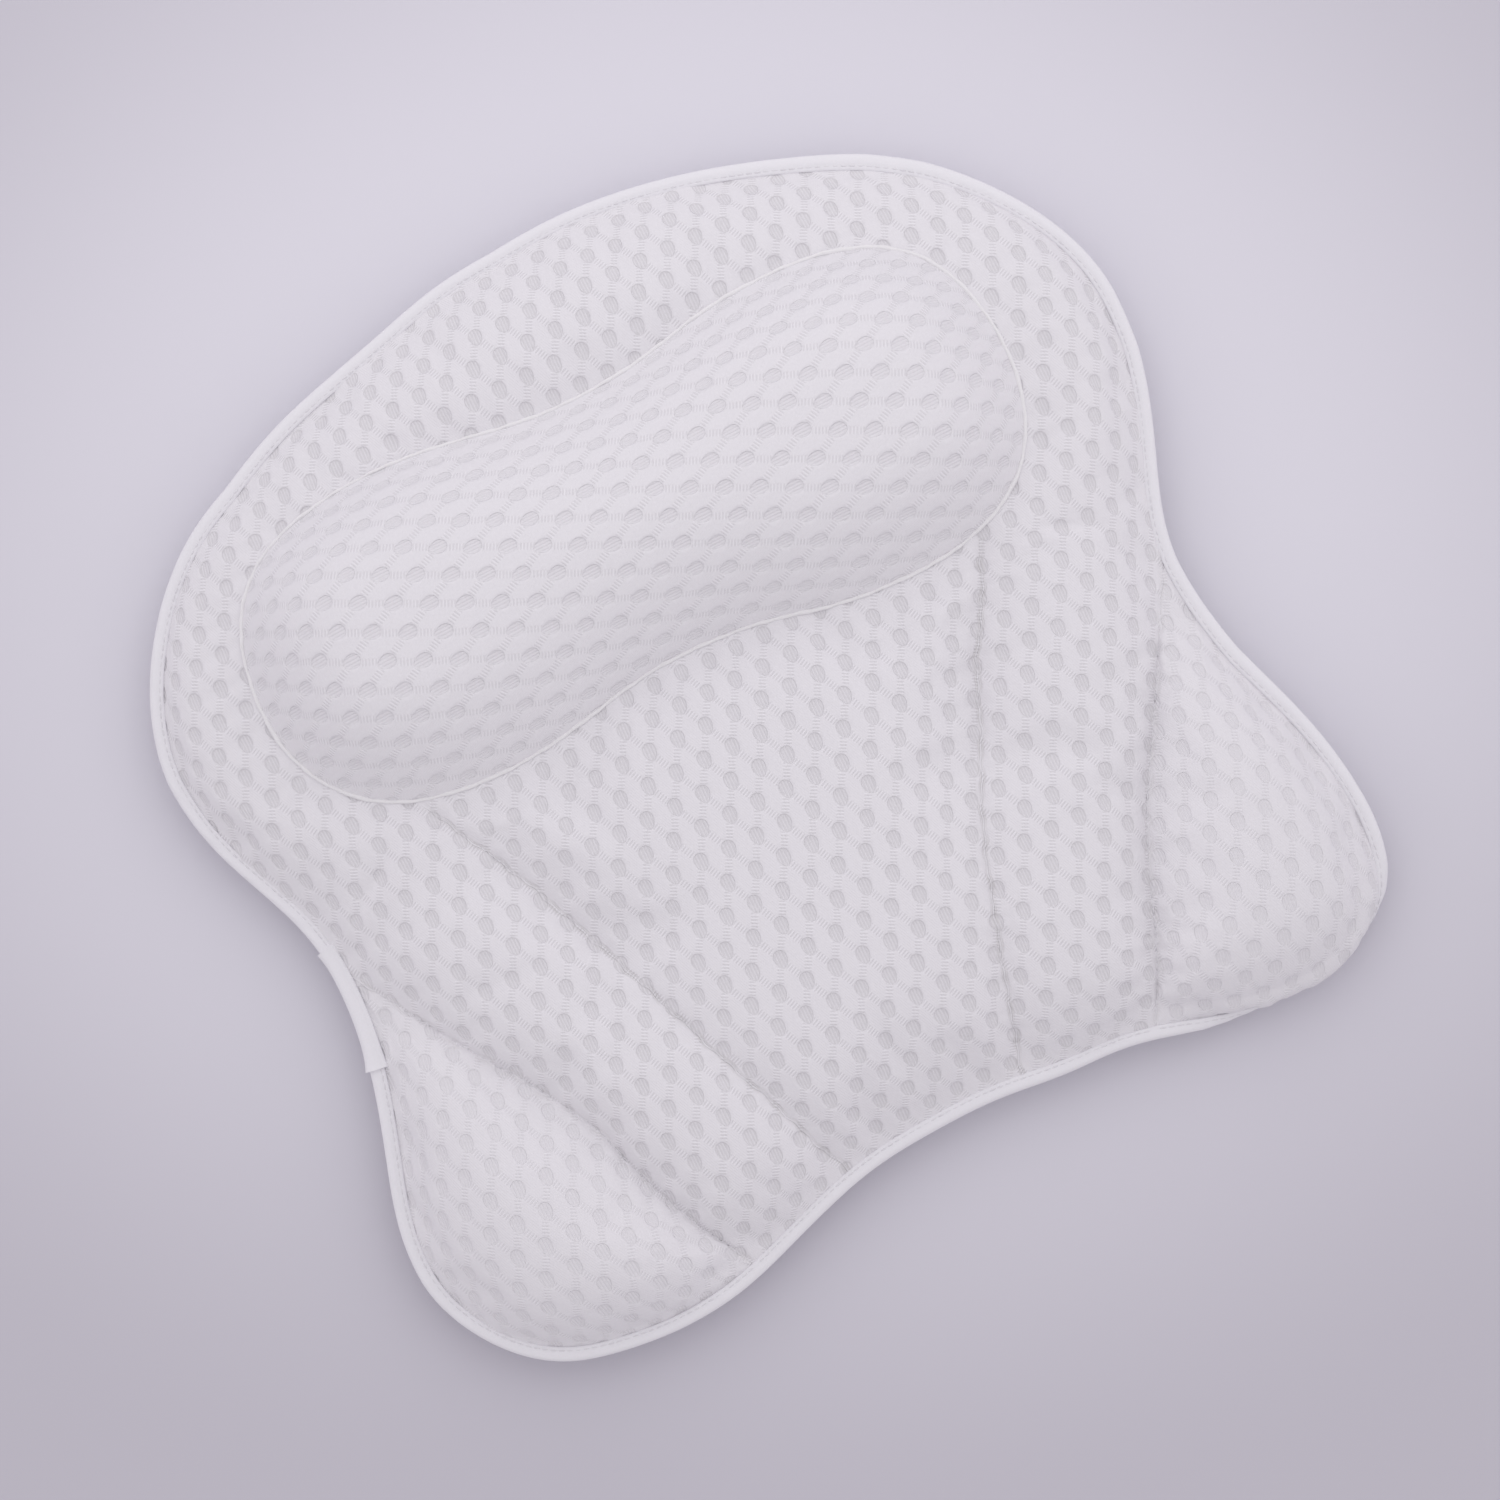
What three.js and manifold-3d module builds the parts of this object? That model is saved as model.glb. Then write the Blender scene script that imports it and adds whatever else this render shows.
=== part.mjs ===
// Bath pillow: a quilted air-mesh cushion with a stuffed neck bolster, two shoulder wings that fold
// along their stitched seams, a folded edge binding, and suction cups that turn in eyelets on the back.
// Millimetres, +Z up, +Y towards the head end, +X to the right when seen from above with the head end up.
// Origin: centre of the outline, on the plane that the cup rims stand on.
import * as THREE from "three";
import { mergeVertices } from "three/addons/utils/BufferGeometryUtils.js";
import Module from "manifold-3d";

const wasm = await Module();
wasm.setup();

// Outline of the bound edge. Every drop is measured down from the head edge.
const LENGTH = 402;
const SHOULDER_WIDTH = 399;
const SHOULDER_DROP = 121;
const WAIST_WIDTH = 356;
const WAIST_DROP = 225;
const WING_WIDTH = 396;
const WING_DROP = 336;
const WING_FOOT_SPACING = 240;
const FOOT_NOTCH = 27;

// How far each curve of the outline runs on before it bends, as a share of its own span.
const QUARTER_ROUND = 0.5523;
const SHOULDER_EASE = 0.55;
const WAIST_UPPER_EASE = 0.3;
const WAIST_LOWER_EASE = 0.35;
const WING_EASE = 0.35;
const WING_FOOT_EASE = 0.4;
const NOTCH_EASE = 0.45;

// Stitched seams: the wing folds, and the channel seams that run from the bolster to the foot.
const FOLD_WAIST_RISE = 17;
const FOLD_FOOT_SPACING = 168;
const FOLD_CORD_RADIUS = 1.2;
const WING_FOLD_LIMIT = 60;
const CHANNEL_FOOT_SPACING = 72;
const CHANNEL_HEAD_SPACING = 233;
const CHANNEL_FADE = 40;

// Neck bolster, a peanut in plan.
const BOLSTER_LENGTH = 308;
const BOLSTER_LOBE_SPACING = 170;
const BOLSTER_LOBE_WIDTH = 124;
const BOLSTER_WAIST_WIDTH = 103;
const BOLSTER_DROP = 117;
const BOLSTER_CROWN = 32;
const BOLSTER_ROLL = 50;
const BOLSTER_WAIST_EASE = 0.45;
const BOLSTER_END_EASE = 0.7;
const BOLSTER_SIDE_EASE = 0.62;
const BOLSTER_SPINE = 0.58;
const WELT_RADIUS = 1.3;

// Cloth, squeezed to its hem thickness where it is sewn, and how the filling swells it. A roll is the distance
// over which a swell rises from its seam.
const COVER = 2;
const HEM = 1.2;
const SQUEEZE_ROLL = 10;
const BODY_CROWN = 15;
const BODY_ROLL = 30;
const BODY_SWELL = 6;
const SWELL_ROLL = 70;
const WING_CROWN = 23;
const WING_ROLL = 40;
const BACK_BULGE = 5.3;
const BACK_ROLL = 18;
const BOLSTER_VALLEY = 4;
const VALLEY_REACH = 12;

// Edge binding: a tape folded round both hems.
const BINDING_WIDTH = 6;
const TAPE = 0.8;

// Suction cups, and the two-part eyelets that hold them in the back cover.
const CUP_RADIUS = 25;
const CUP_RIM = 3.5;
const CUP_LIP = 1.2;
const CUP_RISE = 10.4;
const CUP_HOLLOW = 6.2;
const CUP_SHOULDER = 6.5;
const NECK_RADIUS = 4.7;
const KNOB_RADIUS = 7.2;
const KNOB_HEIGHT = 4;
const EYELET_RADIUS = 10;
const EYELET_FLANGE = 1.5;
const EYELET_WALL = 1.2;
const WASHER = 1.4;
const HEAD_CUP_DROP = 83;
const HEAD_CUP_INSET = 61;
const CENTRE_CUP_DROP = 261;
const CENTRE_CUP_INSET = 37;

// Fits.
const CLEARANCE = 0.3;
const HEM_PLAY = 0.7;

// Facets.
const CURVE_STEPS = 480;
const ROUND_SIDES = 16;
const CORD_SIDES = 8;
const HEAD_STEPS = 16;
const WING_STEPS = 16;
const FOLD_STEPS = 8;
const FOOT_STEPS = 8;
const BOLSTER_STEPS = 11;
const WELT_STEPS = 14;
const ACROSS = [0, 0.1, 0.3, 0.6, 0.88, 1];
const ALONG = [0, 0.04, 0.14, 0.32, 0.5, 0.7, 0.87, 1];
const CENTRE_ACROSS = [0, 0.4, 0.72, 0.92, 1];
const DOME_RINGS = [0, 0.06, 0.16, 0.32, 0.54, 0.78, 1];
const WING_RINGS = [0, 0.07, 0.2, 0.42, 0.7, 1];

// Heights and insets that follow from the sizes above.
const HEAD_Y = LENGTH / 2;
const BOLSTER_Y = HEAD_Y - BOLSTER_DROP;
const FLANGE_Z = CUP_RISE + CLEARANCE;
const BACK_Z = FLANGE_Z + EYELET_FLANGE + CLEARANCE;
const WASHER_Z = BACK_Z + COVER + CLEARANCE;
const KNOB_Z = WASHER_Z + WASHER + CLEARANCE;
const SEAM_Z = BACK_Z + BACK_BULGE + HEM + CLEARANCE / 2;
const SLOT_DEPTH = TAPE + CLEARANCE;
const HEM_INSET = SLOT_DEPTH + HEM_PLAY;
const CROWN_INSET = BINDING_WIDTH + HEM_PLAY;
const SLOT_HALF = HEM + 1.5 * CLEARANCE;
const BINDING_HALF = SLOT_HALF + TAPE;
const FOLD_GAP = FOLD_CORD_RADIUS + CLEARANCE;
const BINDING_FOLD_GAP = BINDING_HALF * Math.tan(THREE.MathUtils.degToRad(WING_FOLD_LIMIT / 2)) + CLEARANCE;
const BORE_RADIUS = NECK_RADIUS + CLEARANCE;
const BARREL_RADIUS = BORE_RADIUS + EYELET_WALL;

const CLOTH = new THREE.MeshStandardMaterial({ color: 0xf0eef2, roughness: 0.95, metalness: 0 });
const BINDING_TAPE = new THREE.MeshStandardMaterial({ color: 0xf7f6fa, roughness: 0.8, metalness: 0 });
const FILLING = new THREE.MeshStandardMaterial({ color: 0xfbfbfb, roughness: 1, metalness: 0 });
const CLEAR_VINYL = new THREE.MeshStandardMaterial({ color: 0xdde6ea, roughness: 0.18, metalness: 0 });
const WHITE_PLASTIC = new THREE.MeshStandardMaterial({ color: 0xf2f2f0, roughness: 0.4, metalness: 0 });

// A line of points in plan, measured along its length.
class Rail {
  constructor(points) {
    this.points = points;
    this.along = [0];
    for (let i = 1; i < points.length; i++) {
      this.along.push(this.along[i - 1] + points[i].distanceTo(points[i - 1]));
    }
    this.length = this.along.at(-1);
  }

  at(distance) {
    let i = 1;
    while (i < this.points.length - 1 && this.along[i] < distance) i++;
    const share = (distance - this.along[i - 1]) / (this.along[i] - this.along[i - 1]);
    return this.points[i - 1].clone().lerp(this.points[i], share);
  }

  // Distances along the rail where a measure of its points passes through zero.
  crossings(measure) {
    const found = [];
    for (let i = 1; i < this.points.length; i++) {
      const before = measure(this.points[i - 1]);
      const after = measure(this.points[i]);
      if (before < 0 !== after < 0) {
        const share = before / (before - after);
        found.push(this.along[i - 1] + share * (this.along[i] - this.along[i - 1]));
      }
    }
    return found;
  }

  run(from, to, shares) {
    return shares.map((share) => this.at(from + share * (to - from)));
  }

  distanceTo(point) {
    let least = Infinity;
    for (let i = 1; i < this.points.length; i++) {
      least = Math.min(least, distanceToSegment(point, this.points[i - 1], this.points[i]));
    }
    return least;
  }
}

function distanceToSegment(point, start, end) {
  const span = end.clone().sub(start);
  const share = point.clone().sub(start).dot(span) / span.lengthSq();
  return start.clone().addScaledVector(span, THREE.MathUtils.clamp(share, 0, 1)).distanceTo(point);
}

// A straight seam in plan. side() is positive towards the right hand edge of the pillow.
class SeamLine {
  constructor(upper, lower) {
    this.upper = upper;
    this.lower = lower;
    this.direction = upper.clone().sub(lower).normalize();
    this.normal = new THREE.Vector2(this.direction.y, -this.direction.x);
  }

  side(point) {
    return point.clone().sub(this.upper).dot(this.normal);
  }
}

function evenShares(count) {
  return Array.from({ length: count + 1 }, (_, i) => i / count);
}

function mirrorPoints(points) {
  return points.map((p) => new THREE.Vector2(-p.x, p.y));
}

// The right half of the bound edge, from the middle of the head edge round to the middle of the foot edge.
function outlineHalf() {
  const shoulder = new THREE.Vector2(SHOULDER_WIDTH / 2, HEAD_Y - SHOULDER_DROP);
  const waist = new THREE.Vector2(WAIST_WIDTH / 2, HEAD_Y - WAIST_DROP);
  const wing = new THREE.Vector2(WING_WIDTH / 2, HEAD_Y - WING_DROP);
  const wingFoot = new THREE.Vector2(WING_FOOT_SPACING / 2, HEAD_Y - LENGTH);
  const notch = new THREE.Vector2(0, HEAD_Y - LENGTH + FOOT_NOTCH);
  const path = new THREE.Path().moveTo(0, HEAD_Y);
  path.bezierCurveTo(
    ...[QUARTER_ROUND * shoulder.x, HEAD_Y],
    ...[shoulder.x, shoulder.y + QUARTER_ROUND * SHOULDER_DROP],
    ...shoulder,
  );
  const upperSpan = shoulder.y - waist.y;
  path.bezierCurveTo(
    ...[shoulder.x, shoulder.y - SHOULDER_EASE * upperSpan],
    ...[waist.x, waist.y + WAIST_UPPER_EASE * upperSpan],
    ...waist,
  );
  const lowerSpan = waist.y - wing.y;
  path.bezierCurveTo(
    ...[waist.x, waist.y - WAIST_LOWER_EASE * lowerSpan],
    ...[wing.x, wing.y + WING_EASE * lowerSpan],
    ...wing,
  );
  path.bezierCurveTo(
    ...[wing.x, wing.y + QUARTER_ROUND * (wingFoot.y - wing.y)],
    ...[wingFoot.x + QUARTER_ROUND * (wing.x - wingFoot.x), wingFoot.y],
    ...wingFoot,
  );
  path.bezierCurveTo(
    ...[wingFoot.x * (1 - WING_FOOT_EASE), wingFoot.y],
    ...[wingFoot.x * NOTCH_EASE, notch.y],
    ...notch,
  );
  return path.getSpacedPoints(CURVE_STEPS);
}

const OUTLINE = outlineHalf();

// The right half of the outline, drawn in by an inset.
function edgeRail(inset) {
  const moved = OUTLINE.map((point, i) => {
    const before = OUTLINE[Math.max(i - 1, 0)];
    const after = OUTLINE[Math.min(i + 1, OUTLINE.length - 1)];
    const tangent = after.clone().sub(before).normalize();
    return new THREE.Vector2(point.x + inset * tangent.y, point.y - inset * tangent.x);
  });
  moved[0].x = 0;
  moved.at(-1).x = 0;
  return new Rail(moved);
}

// The right half of the bolster's seam, from the middle of its head side round to the middle of its foot side.
function bolsterHalf() {
  const waist = BOLSTER_WAIST_WIDTH / 2;
  const lobe = new THREE.Vector2(BOLSTER_LOBE_SPACING / 2, BOLSTER_LOBE_WIDTH / 2);
  const end = BOLSTER_LENGTH / 2;
  const path = new THREE.Path().moveTo(0, waist);
  path.bezierCurveTo(
    ...[BOLSTER_WAIST_EASE * lobe.x, waist],
    ...[(1 - BOLSTER_WAIST_EASE) * lobe.x, lobe.y],
    ...lobe,
  );
  path.bezierCurveTo(
    ...[lobe.x + BOLSTER_END_EASE * (end - lobe.x), lobe.y],
    ...[end, BOLSTER_SIDE_EASE * lobe.y],
    ...[end, 0],
  );
  const upper = path.getSpacedPoints(CURVE_STEPS / 2);
  const lower = upper.slice(0, -1).reverse().map((p) => new THREE.Vector2(p.x, -p.y));
  return [...upper, ...lower].map((p) => new THREE.Vector2(p.x, p.y + BOLSTER_Y));
}

const OUTER = edgeRail(0);
const HEM_EDGE = edgeRail(HEM_INSET);
const BOLSTER = new Rail(bolsterHalf());
const FOLD = new SeamLine(
  OUTER.at(OUTER.crossings((p) => p.y - (HEAD_Y - WAIST_DROP + FOLD_WAIST_RISE))[0]),
  OUTER.at(OUTER.crossings((p) => p.x - FOLD_FOOT_SPACING / 2).at(-1)),
);
const CHANNEL = new SeamLine(
  BOLSTER.at(BOLSTER.crossings((p) => p.x - CHANNEL_HEAD_SPACING / 2).at(-1)),
  HEM_EDGE.at(HEM_EDGE.crossings((p) => p.x - CHANNEL_FOOT_SPACING / 2).at(-1)),
);

// Where a rail of the edge meets the seams: the fold above and below the wing, and the channel seam at the foot.
function edgeCuts(rail, foldOffset) {
  const wing = rail.crossings((p) => p.y - (HEAD_Y - WING_DROP))[0];
  const folds = rail.crossings((p) => FOLD.side(p) - foldOffset);
  const waist = folds.filter((distance) => distance < wing).at(-1);
  const foldFoot = folds.find((distance) => distance > wing);
  const channel = rail.crossings((p) => CHANNEL.side(p)).at(-1);
  return { waist, foldFoot, channel };
}

// The cups' places on the right half. The head cup keeps its distance from the side edge, the centre cup keeps
// its distance from the channel seam, and the wing cup sits in the middle of the wing where that is widest.
function headCup() {
  const y = HEAD_Y - HEAD_CUP_DROP;
  const side = OUTER.at(OUTER.crossings((p) => p.y - y)[0]);
  return new THREE.Vector2(side.x - HEAD_CUP_INSET, y);
}

function centreCup() {
  const y = HEAD_Y - CENTRE_CUP_DROP;
  const share = (y - CHANNEL.lower.y) / (CHANNEL.upper.y - CHANNEL.lower.y);
  return new THREE.Vector2(CHANNEL.lower.clone().lerp(CHANNEL.upper, share).x - CENTRE_CUP_INSET, y);
}

function wingCup() {
  const tip = OUTER.points.reduce((best, p) => (FOLD.side(p) > FOLD.side(best) ? p : best));
  return tip.clone().addScaledVector(FOLD.normal, -FOLD.side(tip) / 2);
}

// A swell that starts steeply at its seam and levels out at the end of its roll.
function rise(distance, roll) {
  const left = 1 - THREE.MathUtils.clamp(distance / roll, 0, 1);
  return 1 - left ** 2.2;
}

function onRight(point) {
  return new THREE.Vector2(Math.abs(point.x), point.y);
}

function seamDistance(point) {
  const p = onRight(point);
  const toEdge = OUTER.distanceTo(p) - CROWN_INSET;
  const toFold = Math.abs(FOLD.side(p)) - FOLD_GAP;
  return Math.max(0, Math.min(toEdge, toFold));
}

function underTheBolster(point) {
  const p = onRight(point);
  let inside = false;
  for (let i = 1; i < BOLSTER.points.length; i++) {
    const [a, b] = [BOLSTER.points[i - 1], BOLSTER.points[i]];
    if (a.y > p.y !== b.y > p.y) {
      const x = a.x + ((p.y - a.y) / (b.y - a.y)) * (b.x - a.x);
      if (p.x < x) inside = !inside;
    }
  }
  return inside;
}

// Distance from the channel seam, whose pinch fades out as it nears the bolster.
function channelDistance(point) {
  const p = onRight(point);
  const below = CHANNEL.upper.clone().sub(p).dot(CHANNEL.direction);
  const faded = THREE.MathUtils.clamp(1 - below / CHANNEL_FADE, 0, 1);
  return distanceToSegment(p, CHANNEL.upper, CHANNEL.lower) + faded * SWELL_ROLL;
}

// Distance from the nearest seam that pinches the covers together.
function pinchDistance(point) {
  const seam = seamDistance(point);
  return FOLD.side(onRight(point)) > 0 ? seam : Math.min(seam, channelDistance(point));
}

function clothThickness(point) {
  return HEM + (COVER - HEM) * rise(pinchDistance(point), SQUEEZE_ROLL);
}

// Upper face of the top cover, pinched to the seam plane at every seam and dipped round the bolster.
function topZ(point) {
  const pinched = SEAM_Z + CLEARANCE / 2 + HEM;
  const near = pinchDistance(point);
  if (FOLD.side(onRight(point)) > 0) {
    return pinched + WING_CROWN * rise(near, WING_ROLL);
  }
  const fromBolster = underTheBolster(point) ? 0 : BOLSTER.distanceTo(onRight(point));
  const dip = Math.exp(-((fromBolster / VALLEY_REACH) ** 2));
  const swell = BODY_CROWN * rise(near, BODY_ROLL) + BODY_SWELL * rise(near, SWELL_ROLL);
  return pinched + swell - BOLSTER_VALLEY * dip * rise(near, BODY_ROLL);
}

// Lower face of the back cover, flat but for its roll up to the seams.
function backZ(point) {
  return SEAM_Z - CLEARANCE / 2 - HEM - BACK_BULGE * rise(pinchDistance(point), BACK_ROLL);
}

// A flat sheet of triangles, put together from patches whose edges meet point to point.
class Plan {
  constructor() {
    this.points = [];
    this.triangles = [];
    this.known = new Map();
  }

  add(point) {
    const key = [point.x, point.y].map((v) => Math.round(v * 1000) + 0).join();
    if (!this.known.has(key)) {
      this.known.set(key, this.points.push(point) - 1);
    }
    return this.known.get(key);
  }

  triangle(a, b, c) {
    if (a === b || b === c || c === a) return;
    const [p, q, r] = [a, b, c].map((i) => this.points[i]);
    const turn = (q.x - p.x) * (r.y - p.y) - (q.y - p.y) * (r.x - p.x);
    this.triangles.push(turn < 0 ? [a, c, b] : [a, b, c]);
  }

  // Straight rows of quads from one rail of points to another.
  ruled(from, to, shares) {
    const rows = shares.map((share) => from.map((p, i) => this.add(p.clone().lerp(to[i], share))));
    for (let r = 1; r < rows.length; r++) {
      for (let i = 1; i < from.length; i++) {
        this.triangle(rows[r - 1][i - 1], rows[r - 1][i], rows[r][i]);
        this.triangle(rows[r - 1][i - 1], rows[r][i], rows[r][i - 1]);
      }
    }
    return this;
  }

  fill(contour) {
    const at = contour.map((p) => this.add(p));
    for (const [a, b, c] of THREE.ShapeUtils.triangulateShape(contour, [])) {
      this.triangle(at[a], at[b], at[c]);
    }
    return this;
  }

  mirrored(flip) {
    for (const [a, b, c] of [...this.triangles]) {
      this.triangle(...[a, b, c].map((i) => this.add(flip(this.points[i]))));
    }
    return this;
  }
}

const acrossX = (p) => new THREE.Vector2(-p.x, p.y);
const acrossBolster = (p) => new THREE.Vector2(p.x, 2 * BOLSTER_Y - p.y);

function geometryOf(positions, indices) {
  const geometry = new THREE.BufferGeometry();
  geometry.setAttribute("position", new THREE.Float32BufferAttribute(positions, 3));
  geometry.setIndex(indices);
  geometry.computeVertexNormals();
  return geometry;
}

// A closed solid between two faces that share one plan. Each face gives a place in space to a plan point.
function slab(plan, upper, lower) {
  const count = plan.points.length;
  const positions = [...plan.points.flatMap(upper), ...plan.points.flatMap(lower)];
  const indices = [];
  const edges = new Set();
  for (const [a, b, c] of plan.triangles) {
    indices.push(a, b, c, c + count, b + count, a + count);
    [[a, b], [b, c], [c, a]].forEach((edge) => edges.add(edge.join()));
  }
  for (const edge of edges) {
    const [a, b] = edge.split(",").map(Number);
    if (edges.has([b, a].join())) continue;
    indices.push(b, a, a + count, b, a + count, b + count);
  }
  return geometryOf(positions, indices);
}

// A closed solid swept through rings of points. A loop joins its last ring to its first.
function sweep(rings, section, loop) {
  const sides = section.length;
  const positions = rings.flat().flatMap((p) => [p.x, p.y, p.z]);
  const indices = [];
  const last = loop ? rings.length : rings.length - 1;
  for (let r = 0; r < last; r++) {
    const next = (r + 1) % rings.length;
    for (let s = 0; s < sides; s++) {
      const t = (s + 1) % sides;
      const [a, b, c, d] = [r * sides + s, r * sides + t, next * sides + t, next * sides + s];
      indices.push(a, b, c, a, c, d);
    }
  }
  if (!loop) {
    const end = (rings.length - 1) * sides;
    for (const [a, b, c] of THREE.ShapeUtils.triangulateShape(section, [])) {
      indices.push(a, c, b, end + a, end + b, end + c);
    }
  }
  return geometryOf(positions, indices);
}

function turnedOut(geometry) {
  if (solidOf(geometry).volume() > 0) return geometry;
  const index = geometry.index.array;
  for (let i = 0; i < index.length; i += 3) {
    [index[i + 1], index[i + 2]] = [index[i + 2], index[i + 1]];
  }
  geometry.computeVertexNormals();
  return geometry;
}

function solidOf(geometry) {
  const bare = geometry.clone();
  bare.deleteAttribute("normal");
  bare.deleteAttribute("uv");
  const merged = mergeVertices(bare);
  return new wasm.Manifold(
    new wasm.Mesh({
      numProp: 3,
      vertProperties: merged.attributes.position.array,
      triVerts: new Uint32Array(merged.index.array),
    }),
  );
}

function cut(geometry, tools) {
  let solid = solidOf(geometry);
  for (const tool of tools) {
    solid = solid.subtract(solidOf(tool));
  }
  const mesh = solid.getMesh();
  return geometryOf([...mesh.vertProperties], [...mesh.triVerts]);
}

function lathe(profile) {
  const points = profile.map(([radius, z]) => new THREE.Vector2(radius, z));
  return new THREE.LatheGeometry(points, ROUND_SIDES).rotateX(Math.PI / 2);
}

function standingCylinder(radius, bottom, top, place) {
  const cylinder = new THREE.CylinderGeometry(radius, radius, top - bottom, ROUND_SIDES).rotateX(Math.PI / 2);
  return cylinder.translate(place.x, place.y, (top + bottom) / 2);
}

// Plan of the flat hem between the binding's seat and the place where the swell starts.
function hemPatch(plan, fold, parts) {
  const crown = edgeRail(CROWN_INSET);
  const outer = edgeCuts(HEM_EDGE, fold);
  const inner = edgeCuts(crown, fold);
  for (const { from, to, shares } of parts) {
    const place = (rail, cuts, name) => cuts[name] ?? (name === "head" ? 0 : rail.length);
    const hem = HEM_EDGE.run(place(HEM_EDGE, outer, from), place(HEM_EDGE, outer, to), shares);
    const start = crown.run(place(crown, inner, from), place(crown, inner, to), shares);
    plan.ruled(hem, start, [0, 1]);
  }
}

// Right half of the body: the border round the head, the channel beside the wing, the centre panel, and the
// part under the bolster. The covers take every row; the filling leaves out the rows that the seams pinch.
function bodyPlan(border, channel, along, centre) {
  const plan = new Plan();
  const crown = edgeRail(CROWN_INSET);
  const cuts = edgeCuts(crown, -FOLD_GAP);
  const edge = crown.run(cuts.waist, 0, evenShares(HEAD_STEPS));
  const top = BOLSTER.crossings((p) => CHANNEL.side(p)).at(-1);
  const seam = BOLSTER.run(top, 0, evenShares(HEAD_STEPS));
  plan.ruled(edge, seam, border);

  const foot = crown.run(cuts.foldFoot, cuts.channel, channel);
  const shoulder = channel.map((share) => edge[0].clone().lerp(seam[0], share));
  plan.ruled(foot, shoulder, along);

  const notch = crown.run(crown.length, cuts.channel, centre);
  const footSeam = BOLSTER.run(BOLSTER.length, top, CENTRE_ACROSS);
  plan.ruled(notch, footSeam.slice(0, centre.length), along);

  const middle = new THREE.Vector2(0, BOLSTER_Y);
  const loop = [...seam].reverse().concat([...footSeam].reverse().slice(1));
  const ring = loop.map((p) => p.clone().lerp(middle, 0.5));
  plan.ruled(loop, ring, [0, 1]);
  plan.fill(ring);
  return plan;
}

function bodyCoverPlan() {
  const plan = bodyPlan(ACROSS, ACROSS, ALONG, CENTRE_ACROSS);
  hemPatch(plan, -FOLD_GAP, [
    { from: "waist", to: "head", shares: evenShares(HEAD_STEPS) },
    { from: "foldFoot", to: "channel", shares: ACROSS },
    { from: "notch", to: "channel", shares: CENTRE_ACROSS },
  ]);
  return plan.mirrored(acrossX);
}

function bodyFillPlan() {
  const channel = ACROSS.slice(1, -1);
  return bodyPlan(ACROSS.slice(1), channel, ALONG.slice(1), CENTRE_ACROSS.slice(0, -1)).mirrored(acrossX);
}

// Right wing, with rings that close on its middle.
function wingPlan(rings) {
  const plan = new Plan();
  const crown = edgeRail(CROWN_INSET);
  const { waist, foldFoot } = edgeCuts(crown, FOLD_GAP);
  const lobe = crown.run(waist, foldFoot, evenShares(WING_STEPS));
  const seam = evenShares(FOLD_STEPS).map((share) => lobe.at(-1).clone().lerp(lobe[0], share));
  const loop = [...lobe, ...seam.slice(1)];
  const middle = lobe[WING_STEPS / 2].clone().lerp(seam[FOLD_STEPS / 2], 0.5);
  plan.ruled(loop, loop.map(() => middle.clone()), rings);
  return plan;
}

function wingCoverPlan() {
  const plan = wingPlan(WING_RINGS);
  hemPatch(plan, FOLD_GAP, [{ from: "waist", to: "foldFoot", shares: evenShares(WING_STEPS) }]);
  return plan;
}

function wingFillPlan() {
  return wingPlan(WING_RINGS.slice(1));
}

function flippedPlan(plan, flip) {
  const copy = new Plan();
  for (const corners of plan.triangles) {
    copy.triangle(...corners.map((i) => copy.add(flip(plan.points[i]))));
  }
  return copy;
}

const atHeight = (height) => (p) => [p.x, p.y, height(p)];

function topCover(plan) {
  return slab(plan, atHeight(topZ), atHeight((p) => topZ(p) - clothThickness(p)));
}

function backCover(plan, cups) {
  const sheet = slab(plan, atHeight((p) => backZ(p) + clothThickness(p)), atHeight(backZ));
  const radius = BARREL_RADIUS + CLEARANCE;
  return cut(sheet, cups.map((place) => standingCylinder(radius, 0, SEAM_Z, place)));
}

// Filling between the covers, with a pocket over each cup's washer and knob.
function filling(plan, cups) {
  const skin = (p) => clothThickness(p) + CLEARANCE;
  const pad = slab(plan, atHeight((p) => topZ(p) - skin(p)), atHeight((p) => backZ(p) + skin(p)));
  const radius = Math.max(EYELET_RADIUS, KNOB_RADIUS) + CLEARANCE;
  const ceiling = KNOB_Z + KNOB_HEIGHT + CLEARANCE;
  return cut(pad, cups.map((place) => standingCylinder(radius, 0, ceiling, place)));
}

// One quarter of the bolster, ruled from its seam to its spine and mirrored both ways.
function bolsterPlan(rings) {
  const plan = new Plan();
  const seam = BOLSTER.run(0, BOLSTER.length / 2, evenShares(BOLSTER_STEPS));
  const spine = seam.map((p) => new THREE.Vector2(BOLSTER_SPINE * p.x, BOLSTER_Y));
  plan.ruled(seam, spine, rings);
  return plan.mirrored(acrossBolster).mirrored(acrossX);
}

// The stuffed bolster's skin, drawn in all round by an inset.
function bolsterFace(inset) {
  const shrinkX = 1 - inset / (BOLSTER_LENGTH / 2);
  const shrinkY = 1 - inset / (BOLSTER_LOBE_WIDTH / 2);
  return (p) => {
    const round = rise(BOLSTER.distanceTo(onRight(p)), BOLSTER_ROLL);
    const height = topZ(p) + 2 * CLEARANCE + (BOLSTER_CROWN - inset) * round;
    return [p.x * shrinkX, BOLSTER_Y + (p.y - BOLSTER_Y) * shrinkY, height];
  };
}

function bolsterFilling() {
  const skin = bolsterFace(COVER + 2 * CLEARANCE);
  const seat = (p) => {
    const [x, y] = skin(p);
    return [x, y, topZ(new THREE.Vector2(x, y)) + 2 * CLEARANCE];
  };
  return slab(bolsterPlan(DOME_RINGS.slice(1)), skin, seat);
}

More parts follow.
